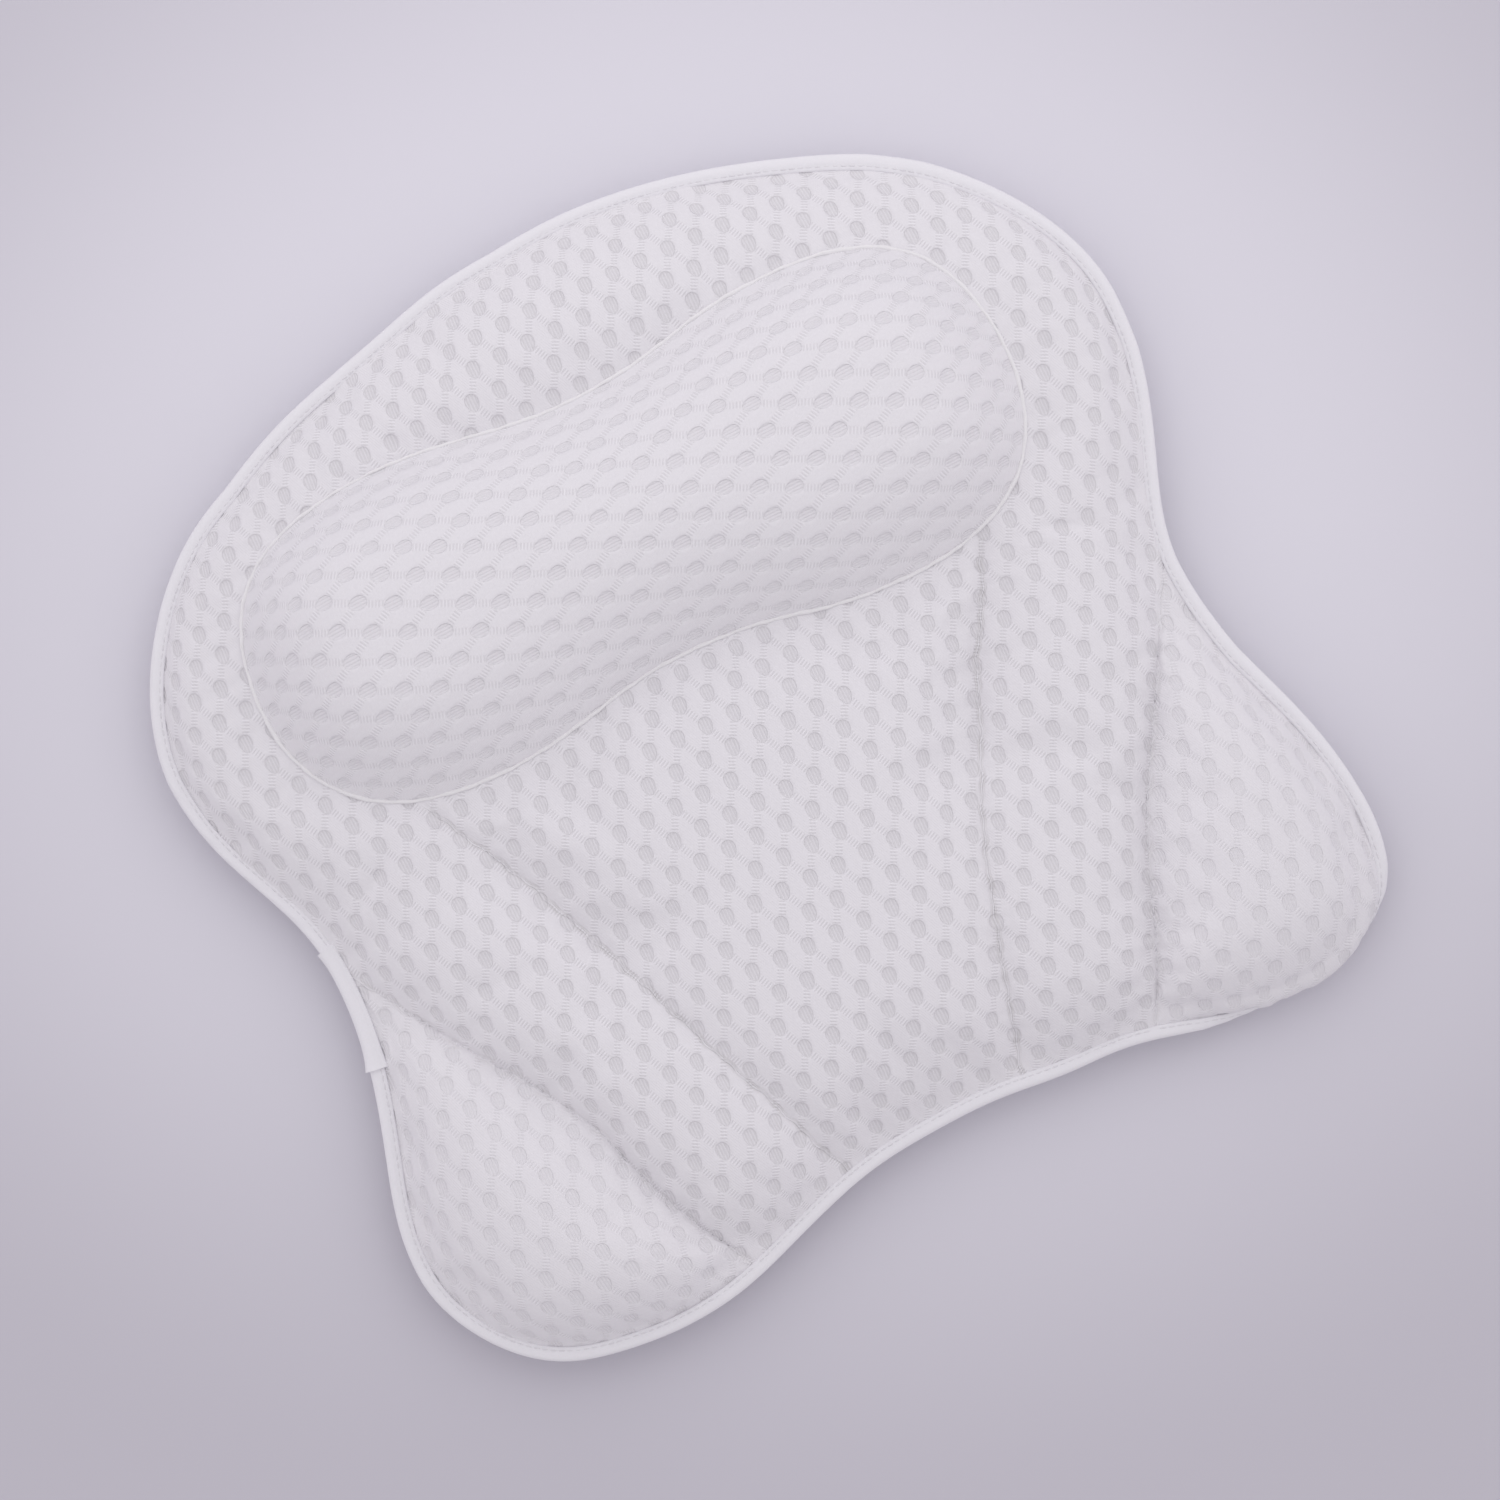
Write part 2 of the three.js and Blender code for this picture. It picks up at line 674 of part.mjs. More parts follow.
// The welt lies on the top cover, just outside the bolster's seam.
function bolsterWelt() {
  const half = BOLSTER.run(0, BOLSTER.length, evenShares(2 * WELT_STEPS));
  const loop = [...half, ...mirrorPoints(half).reverse().slice(1, -1)];
  const reach = WELT_RADIUS + CLEARANCE;
  const section = evenShares(CORD_SIDES).slice(1).map((share) => {
    const angle = 2 * Math.PI * share;
    return new THREE.Vector2(Math.cos(angle), Math.sin(angle)).multiplyScalar(WELT_RADIUS);
  });
  const rings = loop.map((p, i) => {
    const before = loop.at(i - 1);
    const after = loop[(i + 1) % loop.length];
    const tangent = after.clone().sub(before).normalize();
    const out = new THREE.Vector2(-tangent.y, tangent.x);
    const line = p.clone().addScaledVector(out, reach);
    const slope = topZ(line.clone().addScaledVector(out, WELT_RADIUS)) - topZ(line);
    const z = topZ(line) + Math.max(0, slope) + reach + CLEARANCE;
    return section.map((s) => new THREE.Vector3(line.x + out.x * s.x, line.y + out.y * s.x, z + s.y));
  });
  return turnedOut(sweep(rings, section, true));
}

// Section of the folded tape, round at its fold: inset from the edge, and height about the seam plane.
function bindingSection() {
  const turn = Math.SQRT1_2;
  const upper = [
    [BINDING_WIDTH, BINDING_HALF],
    [SLOT_DEPTH, BINDING_HALF],
    [SLOT_DEPTH * (1 - turn), SLOT_HALF + TAPE * turn],
    [0, SLOT_HALF * 0.4],
  ];
  const slot = [
    [BINDING_WIDTH, -SLOT_HALF],
    [SLOT_DEPTH, -SLOT_HALF],
    [SLOT_DEPTH, SLOT_HALF],
    [BINDING_WIDTH, SLOT_HALF],
  ];
  const lower = [...upper].reverse().map(([inset, z]) => [inset, -z]);
  return [...upper, ...lower, ...slot].map(([inset, z]) => new THREE.Vector2(inset, z));
}

// A run of binding between two cuts. The tape's ends are mitred along the fold.
function binding(steps, trim) {
  const section = bindingSection();
  const rails = section.map(({ x, y }) => trim(edgeRail(x)).map((p) => new THREE.Vector3(p.x, p.y, SEAM_Z + y)));
  const rings = evenShares(steps).map((_, i) => rails.map((rail) => rail[i]));
  return turnedOut(sweep(rings, section, false));
}

function headBinding() {
  return binding(2 * HEAD_STEPS, (rail) => {
    const { waist } = edgeCuts(rail, -BINDING_FOLD_GAP);
    const half = rail.run(0, waist, evenShares(HEAD_STEPS));
    return [...mirrorPoints(half).reverse(), ...half.slice(1)];
  });
}

function footBinding() {
  return binding(2 * FOOT_STEPS, (rail) => {
    const { foldFoot } = edgeCuts(rail, -BINDING_FOLD_GAP);
    const half = rail.run(rail.length, foldFoot, evenShares(FOOT_STEPS));
    return [...mirrorPoints(half).reverse(), ...half.slice(1)];
  });
}

function wingBinding(flip) {
  return binding(WING_STEPS, (rail) => {
    const { waist, foldFoot } = edgeCuts(rail, BINDING_FOLD_GAP);
    return rail.run(waist, foldFoot, evenShares(WING_STEPS)).map(flip);
  });
}

// The stitched fold: a slim ridge of pinched cloth that the wing swings on.
function foldCord(flip) {
  const [upper, lower] = [flip(FOLD.upper), flip(FOLD.lower)];
  const along = upper.clone().sub(lower);
  const length = along.length() - 2 * BINDING_WIDTH;
  const cylinder = new THREE.CylinderGeometry(FOLD_CORD_RADIUS, FOLD_CORD_RADIUS, length, CORD_SIDES);
  const cord = new THREE.Mesh(cylinder, BINDING_TAPE);
  const middle = upper.clone().add(lower).multiplyScalar(0.5);
  cord.position.set(middle.x, middle.y, SEAM_Z);
  cord.rotation.z = along.angle() - Math.PI / 2;
  return cord;
}

// Suction cup: flat rim, thin dished skirt, and a neck with a knob that the eyelet holds.
function cupProfile() {
  const skirt = CUP_RADIUS - CUP_RIM;
  return [
    [0, CUP_HOLLOW],
    [skirt * 0.5, CUP_HOLLOW * 0.78],
    [skirt * 0.82, CUP_HOLLOW * 0.36],
    [skirt, 0],
    [CUP_RADIUS, 0],
    [CUP_RADIUS, CUP_LIP],
    [CUP_RADIUS * 0.74, CUP_RISE * 0.55],
    [CUP_RADIUS * 0.46, CUP_RISE * 0.86],
    [CUP_SHOULDER, CUP_RISE],
    [NECK_RADIUS, CUP_RISE],
    [NECK_RADIUS, KNOB_Z],
    [KNOB_RADIUS, KNOB_Z],
    [KNOB_RADIUS * 0.9, KNOB_Z + KNOB_HEIGHT * 0.55],
    [KNOB_RADIUS * 0.5, KNOB_Z + KNOB_HEIGHT],
    [0, KNOB_Z + KNOB_HEIGHT],
  ];
}

function eyeletProfile() {
  const top = WASHER_Z + WASHER;
  return [
    [BORE_RADIUS, FLANGE_Z],
    [EYELET_RADIUS, FLANGE_Z],
    [EYELET_RADIUS, FLANGE_Z + EYELET_FLANGE],
    [BARREL_RADIUS, FLANGE_Z + EYELET_FLANGE],
    [BARREL_RADIUS, top],
    [BORE_RADIUS, top],
    [BORE_RADIUS, FLANGE_Z],
  ];
}

function washerProfile() {
  const bore = BARREL_RADIUS + CLEARANCE;
  return [
    [bore, WASHER_Z],
    [EYELET_RADIUS, WASHER_Z],
    [EYELET_RADIUS, WASHER_Z + WASHER],
    [bore, WASHER_Z + WASHER],
    [bore, WASHER_Z],
  ];
}

function addPart(group, name, geometry, material) {
  const mesh = new THREE.Mesh(geometry, material);
  mesh.name = name;
  group.add(mesh);
  return mesh;
}

function addCup(group, name, place) {
  const station = new THREE.Group();
  station.position.set(place.x, place.y, 0);
  addPart(station, `${name}_suction_cup`, lathe(cupProfile()), CLEAR_VINYL);
  addPart(station, `${name}_eyelet`, lathe(eyeletProfile()), WHITE_PLASTIC);
  addPart(station, `${name}_washer`, lathe(washerProfile()), WHITE_PLASTIC);
  group.add(station);
}

const SIDES = { left: acrossX, right: (p) => p.clone() };
const bodyCups = Object.values(SIDES).flatMap((flip) => [flip(headCup()), flip(centreCup())]);

const pillow = new THREE.Group();
pillow.name = "bath_pillow";

addPart(pillow, "top_cover", topCover(bodyCoverPlan()), CLOTH);
addPart(pillow, "back_cover", backCover(bodyCoverPlan(), bodyCups), CLOTH);
addPart(pillow, "body_filling", filling(bodyFillPlan(), bodyCups), FILLING);
addPart(pillow, "bolster_cover", slab(bolsterPlan(DOME_RINGS), bolsterFace(0), bolsterFace(COVER)), CLOTH);
addPart(pillow, "bolster_filling", bolsterFilling(), FILLING);
addPart(pillow, "bolster_welt", bolsterWelt(), BINDING_TAPE);
addPart(pillow, "head_binding", headBinding(), BINDING_TAPE);
addPart(pillow, "foot_binding", footBinding(), BINDING_TAPE);

for (const [name, flip] of Object.entries(SIDES)) {
  const wing = new THREE.Group();
  const cup = flip(wingCup());
  const cover = flippedPlan(wingCoverPlan(), flip);
  const fill = flippedPlan(wingFillPlan(), flip);
  addPart(wing, `${name}_wing_top_cover`, topCover(cover), CLOTH);
  addPart(wing, `${name}_wing_back_cover`, backCover(cover, [cup]), CLOTH);
  addPart(wing, `${name}_wing_filling`, filling(fill, [cup]), FILLING);
  addPart(wing, `${name}_wing_binding`, wingBinding(flip), BINDING_TAPE);
  addCup(wing, `${name}_wing`, cup);
  pillow.add(wing);

  const cord = foldCord(flip);
  cord.name = `${name}_fold_seam`;
  pillow.add(cord);
  addCup(pillow, `${name}_head`, flip(headCup()));
  addCup(pillow, `${name}_centre`, flip(centreCup()));
}

export default pillow;
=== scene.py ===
"""Bath pillow: a quilted air-mesh cushion with a neck bolster, two folding wings and six suction cups."""

import math

import bpy
import numpy as np
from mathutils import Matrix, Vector


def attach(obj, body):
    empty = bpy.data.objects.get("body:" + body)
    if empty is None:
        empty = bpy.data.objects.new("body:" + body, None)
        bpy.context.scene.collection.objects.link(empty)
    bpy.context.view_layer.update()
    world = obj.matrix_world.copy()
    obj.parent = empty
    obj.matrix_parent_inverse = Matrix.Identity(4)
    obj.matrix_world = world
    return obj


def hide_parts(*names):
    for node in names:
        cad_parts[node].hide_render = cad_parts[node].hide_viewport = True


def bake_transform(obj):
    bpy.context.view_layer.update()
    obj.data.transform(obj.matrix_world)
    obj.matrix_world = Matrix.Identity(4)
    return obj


MM = 0.001

# Plan sizes in millimetres, the same as the part's.
LENGTH = 402.0
SHOULDER_WIDTH = 399.0
SHOULDER_DROP = 121.0
WAIST_WIDTH = 356.0
WAIST_DROP = 225.0
WING_WIDTH = 396.0
WING_DROP = 336.0
WING_FOOT_SPACING = 240.0
FOOT_NOTCH = 27.0
QUARTER_ROUND = 0.5523
FOLD_WAIST_RISE = 17.0
FOLD_FOOT_SPACING = 168.0
CHANNEL_FOOT_SPACING = 72.0
CHANNEL_HEAD_SPACING = 233.0
CHANNEL_FADE = 60.0
CHANNEL_DEPTH = 9.0
CHANNEL_ROLL = 17.0
FOLD_DEPTH = 10.5
FOLD_ROLL = 20.0
BOLSTER_LENGTH = 308.0
LOBE_SPACING = 170.0
LOBE_WIDTH = 124.0
BOLSTER_WAIST = 103.0
BOLSTER_DROP = 117.0
BOLSTER_CROWN = 32.0
BOLSTER_ROLL = 50.0
SPINE_SHARE = 0.58

# Heights above the table and swells, in millimetres. A roll is how far from its seam a panel keeps rising.
SEAM_Z = 19.15
HEM_TOP = 20.5
HEM_BACK = 17.8
BODY_CROWN = 15.0
BODY_SWELL = 6.0
EDGE_ROLL = 32.0
WING_ROLL = 33.0
WING_CROWN = 22.0
SWELL_ROLL = 70.0
BACK_BULGE = 5.3
BOLSTER_VALLEY = 4.0
CROWN_INSET = 6.7
BACK_ROLL = 18.0
VALLEY_WIDTH = 12.0
WING_BLEND = 30.0
BOLSTER_LIFT = 0.6

HEAD_Y = LENGTH / 2
BOLSTER_Y = HEAD_Y - BOLSTER_DROP
SIDE_WORDS = {1: "right", -1: "left"}


def curve(points, steps=80):
    """Points along one cubic curve."""
    a, b, c, d = np.array(points, float)
    t = np.linspace(0, 1, steps + 1)[:, None]
    return a * (1 - t) ** 3 + 3 * b * t * (1 - t) ** 2 + 3 * c * t * t * (1 - t) + d * t**3


def chain(*runs):
    """Curves joined end to end."""
    return np.vstack([runs[0]] + [run[1:] for run in runs[1:]])


def half_outline():
    """The bound edge from the head round the right side to the foot notch."""
    shoulder_x = SHOULDER_WIDTH / 2
    shoulder_y = HEAD_Y - SHOULDER_DROP
    waist_x = WAIST_WIDTH / 2
    waist_y = HEAD_Y - WAIST_DROP
    wing_x = WING_WIDTH / 2
    wing_y = HEAD_Y - WING_DROP
    foot_x = WING_FOOT_SPACING / 2
    foot_y = -HEAD_Y
    notch_y = foot_y + FOOT_NOTCH
    flank = shoulder_y - waist_y
    flare = waist_y - wing_y
    round_y = wing_y + QUARTER_ROUND * (foot_y - wing_y)
    round_x = foot_x + QUARTER_ROUND * (wing_x - foot_x)
    return chain(
        curve([
            (0, HEAD_Y),
            (QUARTER_ROUND * shoulder_x, HEAD_Y),
            (shoulder_x, shoulder_y + QUARTER_ROUND * SHOULDER_DROP),
            (shoulder_x, shoulder_y),
        ]),
        curve([
            (shoulder_x, shoulder_y),
            (shoulder_x, shoulder_y - 0.55 * flank),
            (waist_x, waist_y + 0.3 * flank),
            (waist_x, waist_y),
        ]),
        curve([
            (waist_x, waist_y),
            (waist_x, waist_y - 0.35 * flare),
            (wing_x, wing_y + 0.35 * flare),
            (wing_x, wing_y),
        ]),
        curve([(wing_x, wing_y), (wing_x, round_y), (round_x, foot_y), (foot_x, foot_y)]),
        curve([(foot_x, foot_y), (0.6 * foot_x, foot_y), (0.45 * foot_x, notch_y), (0, notch_y)]),
    )


def half_bolster():
    """The bolster's seam from its head side round the right end to its foot side."""
    lobe_x = LOBE_SPACING / 2
    lobe_y = LOBE_WIDTH / 2
    waist_y = BOLSTER_WAIST / 2
    end_x = BOLSTER_LENGTH / 2
    upper = chain(
        curve([(0, waist_y), (0.45 * lobe_x, waist_y), (0.55 * lobe_x, lobe_y), (lobe_x, lobe_y)]),
        curve([
            (lobe_x, lobe_y),
            (lobe_x + 0.7 * (end_x - lobe_x), lobe_y),
            (end_x, 0.62 * lobe_y),
            (end_x, 0),
        ]),
    )
    lower = upper[::-1] * (1, -1)
    return chain(upper, lower) + (0, BOLSTER_Y)


class Rail:
    """A line in the plan that can be walked by length."""

    def __init__(self, points):
        self.points = np.array(points, float)
        steps = np.linalg.norm(np.diff(self.points, axis=0), axis=1)
        self.walked = np.concatenate([[0], np.cumsum(steps)])
        self.length = self.walked[-1]

    def at(self, walk):
        return np.stack([np.interp(walk, self.walked, self.points[:, i]) for i in (0, 1)], axis=-1)

    def shares(self, count):
        return self.at(np.linspace(0, self.length, count + 1))

    def crossing(self, values, near):
        """How far along the rail the values, one for each of its points, change sign, closest to near."""
        places = np.nonzero(np.sign(values[:-1]) != np.sign(values[1:]))[0]
        before = values[places]
        steps = self.walked[places + 1] - self.walked[places]
        walks = self.walked[places] + steps * before / (before - values[places + 1])
        return walks[np.argmin(abs(walks - near))]

    def between(self, first, last):
        inside = (self.walked > first + 1e-6) & (self.walked < last - 1e-6)
        return Rail(np.vstack([self.at(first), self.points[inside], self.at(last)]))


def unit(ways):
    return ways / np.linalg.norm(ways, axis=1)[:, None]


def inset_line(line, inset):
    """The line moved to the right of its direction, which is inwards for the edge and the bolster."""
    ahead = unit(np.gradient(line, axis=0))
    return line + inset * np.stack([ahead[:, 1], -ahead[:, 0]], axis=1)


POINTS_AT_ONCE = 2000


def distance_to(points, line):
    """How far each point is from the line."""
    start = line[:-1][None]
    step = (line[1:] - line[:-1])[None]
    best = np.empty(len(points))
    for first in range(0, len(points), POINTS_AT_ONCE):
        last = first + POINTS_AT_ONCE
        part = points[first:last, None, :]
        share = np.clip(((part - start) * step).sum(-1) / (step * step).sum(-1), 0, 1)
        best[first:last] = np.sqrt(((part - start - share[..., None] * step) ** 2).sum(-1).min(1))
    return best


def mirrored(line):
    return line * (-1, 1)


EDGE = half_outline()
BOLSTER_EDGE = half_bolster()
SPARSE_EDGE = EDGE[::4]
SPARSE_BOLSTER = BOLSTER_EDGE[::4]
EDGE_RAIL = Rail(EDGE)
FOLD_UPPER = EDGE_RAIL.at(
    EDGE_RAIL.crossing(EDGE[:, 1] - (HEAD_Y - WAIST_DROP + FOLD_WAIST_RISE), 0.45 * EDGE_RAIL.length)
)
FOLD_LOWER = EDGE_RAIL.at(EDGE_RAIL.crossing(EDGE[:, 0] - FOLD_FOOT_SPACING / 2, EDGE_RAIL.length))
FOLD_AHEAD = (FOLD_UPPER - FOLD_LOWER) / np.linalg.norm(FOLD_UPPER - FOLD_LOWER)
FOLD_MIDDLE = (FOLD_UPPER + FOLD_LOWER) / 2
FOLD_OUT = np.array([FOLD_AHEAD[1], -FOLD_AHEAD[0]])
BOLSTER_RAIL = Rail(BOLSTER_EDGE)
CHANNEL_WALK = BOLSTER_RAIL.crossing(BOLSTER_EDGE[:, 0] - CHANNEL_HEAD_SPACING / 2, BOLSTER_RAIL.length)
CHANNEL_UPPER = BOLSTER_RAIL.at(CHANNEL_WALK)
FOOT_WALK = EDGE_RAIL.crossing(EDGE[:, 0] - CHANNEL_FOOT_SPACING / 2, EDGE_RAIL.length)
CHANNEL_LOWER = EDGE_RAIL.at(FOOT_WALK)


def fold_side(points):
    """How far points of the right half are past the fold, towards the wing."""
    return (points - FOLD_MIDDLE) @ FOLD_OUT


def folded(points):
    """Points of either half carried over to the right half."""
    return np.stack([abs(points[:, 0]), points[:, 1]], axis=1)


def rise(distance, roll):
    """How full a stuffed panel is at a distance from its seam, from 0 to 1."""
    return 1 - (1 - np.clip(distance / roll, 0, 1)) ** 2.2


def fading(distance, reach):
    """1 at no distance, falling away smoothly past the reach."""
    return np.exp(-((distance / reach) ** 2))


def fold_distance(points):
    """How far points are from the fold of their half."""
    return abs(fold_side(folded(points)))


def bolster_distance(points):
    """How far points are from the bolster's seam."""
    return distance_to(folded(points), SPARSE_BOLSTER)


def edge_distance(points):
    """How far points are inside the binding."""
    return np.maximum(distance_to(folded(points), SPARSE_EDGE) - CROWN_INSET, 0)


def channel_places(points):
    """How far points are from the channel seam of their half, and how far down it."""
    right = folded(points)
    ahead = CHANNEL_LOWER - CHANNEL_UPPER
    length = np.linalg.norm(ahead)
    along = np.clip((right - CHANNEL_UPPER) @ ahead / length, 0, length)
    nearest = CHANNEL_UPPER + along[:, None] * ahead / length
    return np.linalg.norm(right - nearest, axis=1), along


# A soft fold in the cloth, from the left waist to the channel seam.
SLACK_FOLD = np.array([(-166.0, -18.0), (-140.0, -9.0), (-108.0, -12.0)])
SLACK_DEPTH = 2.0
SLACK_WIDTH = 9.0


def inside_bolster(points):
    """Which points of the plan lie under the bolster."""
    across = np.interp(abs(points[:, 0]), *half_width_table())
    return abs(points[:, 1] - BOLSTER_Y) < across


def half_width_table():
    upper = BOLSTER_EDGE[: len(BOLSTER_EDGE) // 2 + 1]
    return upper[:, 0], upper[:, 1] - BOLSTER_Y


def outside_bolster(points):
    """How far points are outside the bolster's seam, 0 under it."""
    return np.where(inside_bolster(points), 0, bolster_distance(points))


def top_height(points):
    """Height of the top face of the body and the wings."""
    inset = edge_distance(points)
    past = np.clip(fold_side(folded(points)) / WING_BLEND, 0, 1)
    full = rise(inset, EDGE_ROLL + past * (WING_ROLL - EDGE_ROLL))
    crown = BODY_CROWN + past * (WING_CROWN - BODY_CROWN)
    valley = BOLSTER_VALLEY * fading(outside_bolster(points), VALLEY_WIDTH)
    aside, along = channel_places(points)
    pulled = np.clip(along / CHANNEL_FADE, 0, 1) ** 0.7
    channel = CHANNEL_DEPTH * pulled * (1 - rise(aside, CHANNEL_ROLL))
    fold = FOLD_DEPTH * (1 - rise(fold_distance(points), FOLD_ROLL))
    slack = SLACK_DEPTH * fading(distance_to(points, SLACK_FOLD), SLACK_WIDTH)
    swell = BODY_SWELL * rise(inset, SWELL_ROLL)
    return HEM_TOP + (crown - valley - channel - fold - slack) * full + swell


def back_height(points):
    return HEM_BACK - BACK_BULGE * rise(edge_distance(points), BACK_ROLL)


def bolster_height(points):
    dome = BOLSTER_CROWN * rise(bolster_distance(points), BOLSTER_ROLL)
    return top_height(points) + BOLSTER_LIFT + dome


class Pattern:
    """A cloth panel laid out as patches of quads that share their edge points."""

    def __init__(self):
        self.points = []
        self.faces = []
        self.known = {}

    def index(self, point):
        key = (round(point[0] * 10), round(point[1] * 10))
        if key not in self.known:
            self.known[key] = len(self.points)
            self.points.append(point)
        return self.known[key]

    def patch(self, rows):
        """Adds a grid of points, given as rows."""
        numbers = [[self.index(point) for point in row] for row in rows]
        for low, high in zip(numbers, numbers[1:]):
            for i in range(len(low) - 1):
                face = []
                for corner in (low[i], low[i + 1], high[i + 1], high[i]):
                    if corner not in face:
                        face.append(corner)
                if len(face) > 2:
                    self.faces.append(self.turned(face))
        return numbers

    def turned(self, face):
        """The face with its corners counter-clockwise."""
        corners = np.array([self.points[i] for i in face])
        ahead = np.roll(corners, -1, axis=0)
        area = (corners[:, 0] * ahead[:, 1] - corners[:, 1] * ahead[:, 0]).sum()
        return face if area > 0 else face[::-1]

    def plan(self):
        return np.array(self.points)


def ruled(first, last, shares):
    """Rows of points on straight lines from one line of points to another."""
    return [first + share * (last - first) for share in shares]


def eased(count, ease=0.35):
    """Shares from 0 to 1 that crowd towards both ends."""
    t = np.linspace(0, 1, count + 1)
    return t - ease * np.sin(2 * np.pi * t) / (2 * np.pi)


HEM_INSET = 2.4
TUCK = 8.0
BORDER_STEPS = 84
ACROSS = eased(14)
DOWN = eased(46, 0.3)
WING_ACROSS = eased(22)
BOLSTER_STEPS = 92
BOLSTER_ROWS = 20
CENTRE_STEPS = 18
PLAIN_STEPS = 60


def fold_walks(rail):
    """Where the fold line crosses a rail that runs round the right half."""
    values = fold_side(rail.points)
    upper = rail.crossing(values, 0.45 * rail.length)
    lower = rail.crossing(values, 0.85 * rail.length)
    return upper, lower


def plain_pattern():
    """The whole panel between the folds, without inner seams."""
    pattern = Pattern()
    hem = Rail(inset_line(EDGE, HEM_INSET))
    upper, lower = fold_walks(hem)
    head = hem.between(0, upper).shares(PLAIN_STEPS)
    foot = hem.between(lower, hem.length).shares(PLAIN_STEPS)[::-1]
    for side in (1, -1):
        pattern.patch(ruled(head * (side, 1), foot * (side, 1), DOWN))
    return pattern


def body_pattern():
    """The panel between the folds: border, two channels, centre and a strip tucked under the bolster."""
    pattern = Pattern()
    hem = Rail(inset_line(EDGE, HEM_INSET))
    upper, lower = fold_walks(hem)
    channel_foot = hem.crossing(hem.points[:, 0] - CHANNEL_LOWER[0], hem.length)
    border = hem.between(0, upper).shares(BORDER_STEPS)
    seam_border = BOLSTER_RAIL.between(0, CHANNEL_WALK).shares(BORDER_STEPS)
    channel_top = np.array(ruled(border[-1], seam_border[-1], ACROSS))
    foot_rail = hem.between(lower, channel_foot)
    channel_bottom = foot_rail.at(ACROSS * foot_rail.length)
    seam_centre = BOLSTER_RAIL.between(CHANNEL_WALK, BOLSTER_RAIL.length).shares(CENTRE_STEPS)
    foot_centre = hem.between(channel_foot, hem.length).shares(CENTRE_STEPS)
    seam = chain(seam_border, seam_centre)
    for side in (1, -1):
        turn = (side, 1)
        pattern.patch(ruled(border * turn, seam_border * turn, ACROSS))
        pattern.patch(ruled(channel_top * turn, channel_bottom * turn, DOWN))
        pattern.patch(ruled(seam_centre * turn, foot_centre * turn, DOWN))
        pattern.patch(ruled(seam * turn, inset_line(seam, TUCK) * turn, (0, 0.5, 1)))
    return pattern


def wing_pattern(side):
    pattern = Pattern()
    hem = Rail(inset_line(EDGE, HEM_INSET))
    upper, lower = fold_walks(hem)
    lobe_rail = hem.between(upper, lower)
    lobe = lobe_rail.at(DOWN * lobe_rail.length)
    fold = np.array(ruled(lobe[0], lobe[-1], DOWN))
    pattern.patch(ruled(fold * (side, 1), lobe * (side, 1), WING_ACROSS))
    return pattern


def bolster_pattern():
    pattern = Pattern()
    seam = BOLSTER_RAIL.shares(BOLSTER_STEPS)
    spine = np.stack([seam[:, 0] * SPINE_SHARE, np.full(len(seam), BOLSTER_Y)], axis=1)
    steps = 1 - (1 - np.linspace(0, 1, BOLSTER_ROWS)) ** 1.35
    for side in (1, -1):
        pattern.patch(ruled(seam * (side, 1), spine * (side, 1), steps))
    return pattern


# Where this pillow lies off its pattern: a place in the plan, and how far it is moved.
PULLS = np.array([
    (-15, 198, 0, -2.5),
    (-66, 187, 1.8, -7),
    (-119, 172, 2.5, -4.5),
    (-170, 130, 1, -1),
    (-197, 60, -4.5, 0),
    (-190, 10, 0.5, 0),
    (-178, -35, -6, 0.5),
    (-188, -75, -4, 0),
    (-204, -125, -7, 0),
    (-180, -180, -3, -3),
    (-128, -196, -1, 3),
    (-90, -192, -2, 2),
    (-157, -54, 3, 5),
    (-130, -108, 6, 4),
    (-36, -174, -2, 0),
    (0, -174, -3, -3),
    (36, -174, -1, 0.5),
    (88, -187, 1, 13.5),
    (108, -195, 5, 20),
    (130, -198, 0, -4),
    (152, -194, 0, 0),
    (180, -180, 6, -12),
    (194, -135, 0, 0),
    (120, -115, -9, 4.5),
    (147, -69, -5, 2.5),
    (104, -145, -4, 2),
    (93, -42, -6, 3),
    (72, -95, -10, 5),
    (50, -148, -9, 5),
    (178, -40, -1, 0),
    (202, 66, 2.5, 0),
    (150, 162, 1.5, 2),
])
PULL_REACH = 34.0
BOLSTER_TURN = math.radians(-1.4)
BOLSTER_MOVE = np.array([-1.9, -3.7])
BOLSTER_DRAG = 25.0

# The right wing's lower edge is rolled under: between two places on the edge.
ROLL_START_Y = -142.0
ROLL_END_X = 84.0
ROLL_START = EDGE_RAIL.crossing(EDGE[:, 1] - ROLL_START_Y, 0.75 * EDGE_RAIL.length)
ROLL_END = EDGE_RAIL.crossing(EDGE[:, 0] - ROLL_END_X, EDGE_RAIL.length)
ROLL_CORNER = (60.0, -90.0)
ROLL_REACH = 12.5
ROLL_ANGLE = math.radians(150)
ROLL_EASE = 56.0


def edge_places(plan):
    """For points near the right half's edge: how far inside it, how far along it, and the way out."""
    ahead = unit(np.gradient(EDGE, axis=0))
    ways = np.stack([-ahead[:, 1], ahead[:, 0]], axis=1)
    step = EDGE[1:] - EDGE[:-1]
    arm = plan[:, None] - EDGE[None, :-1]
    share = np.clip((arm * step).sum(-1) / (step * step).sum(-1), 0, 1)
    apart = np.linalg.norm(arm - share[..., None] * step, axis=2)
    place = apart.argmin(1)
    rows = np.arange(len(plan))
    part = share[rows, place]
    way = unit(ways[place] + part[:, None] * (ways[place + 1] - ways[place]))
    nearest = EDGE[place] + part[:, None] * step[place]
    walk = EDGE_RAIL.walked[place] + part * (EDGE_RAIL.walked[place + 1] - EDGE_RAIL.walked[place])
    return ((nearest - plan) * way).sum(1), walk, way


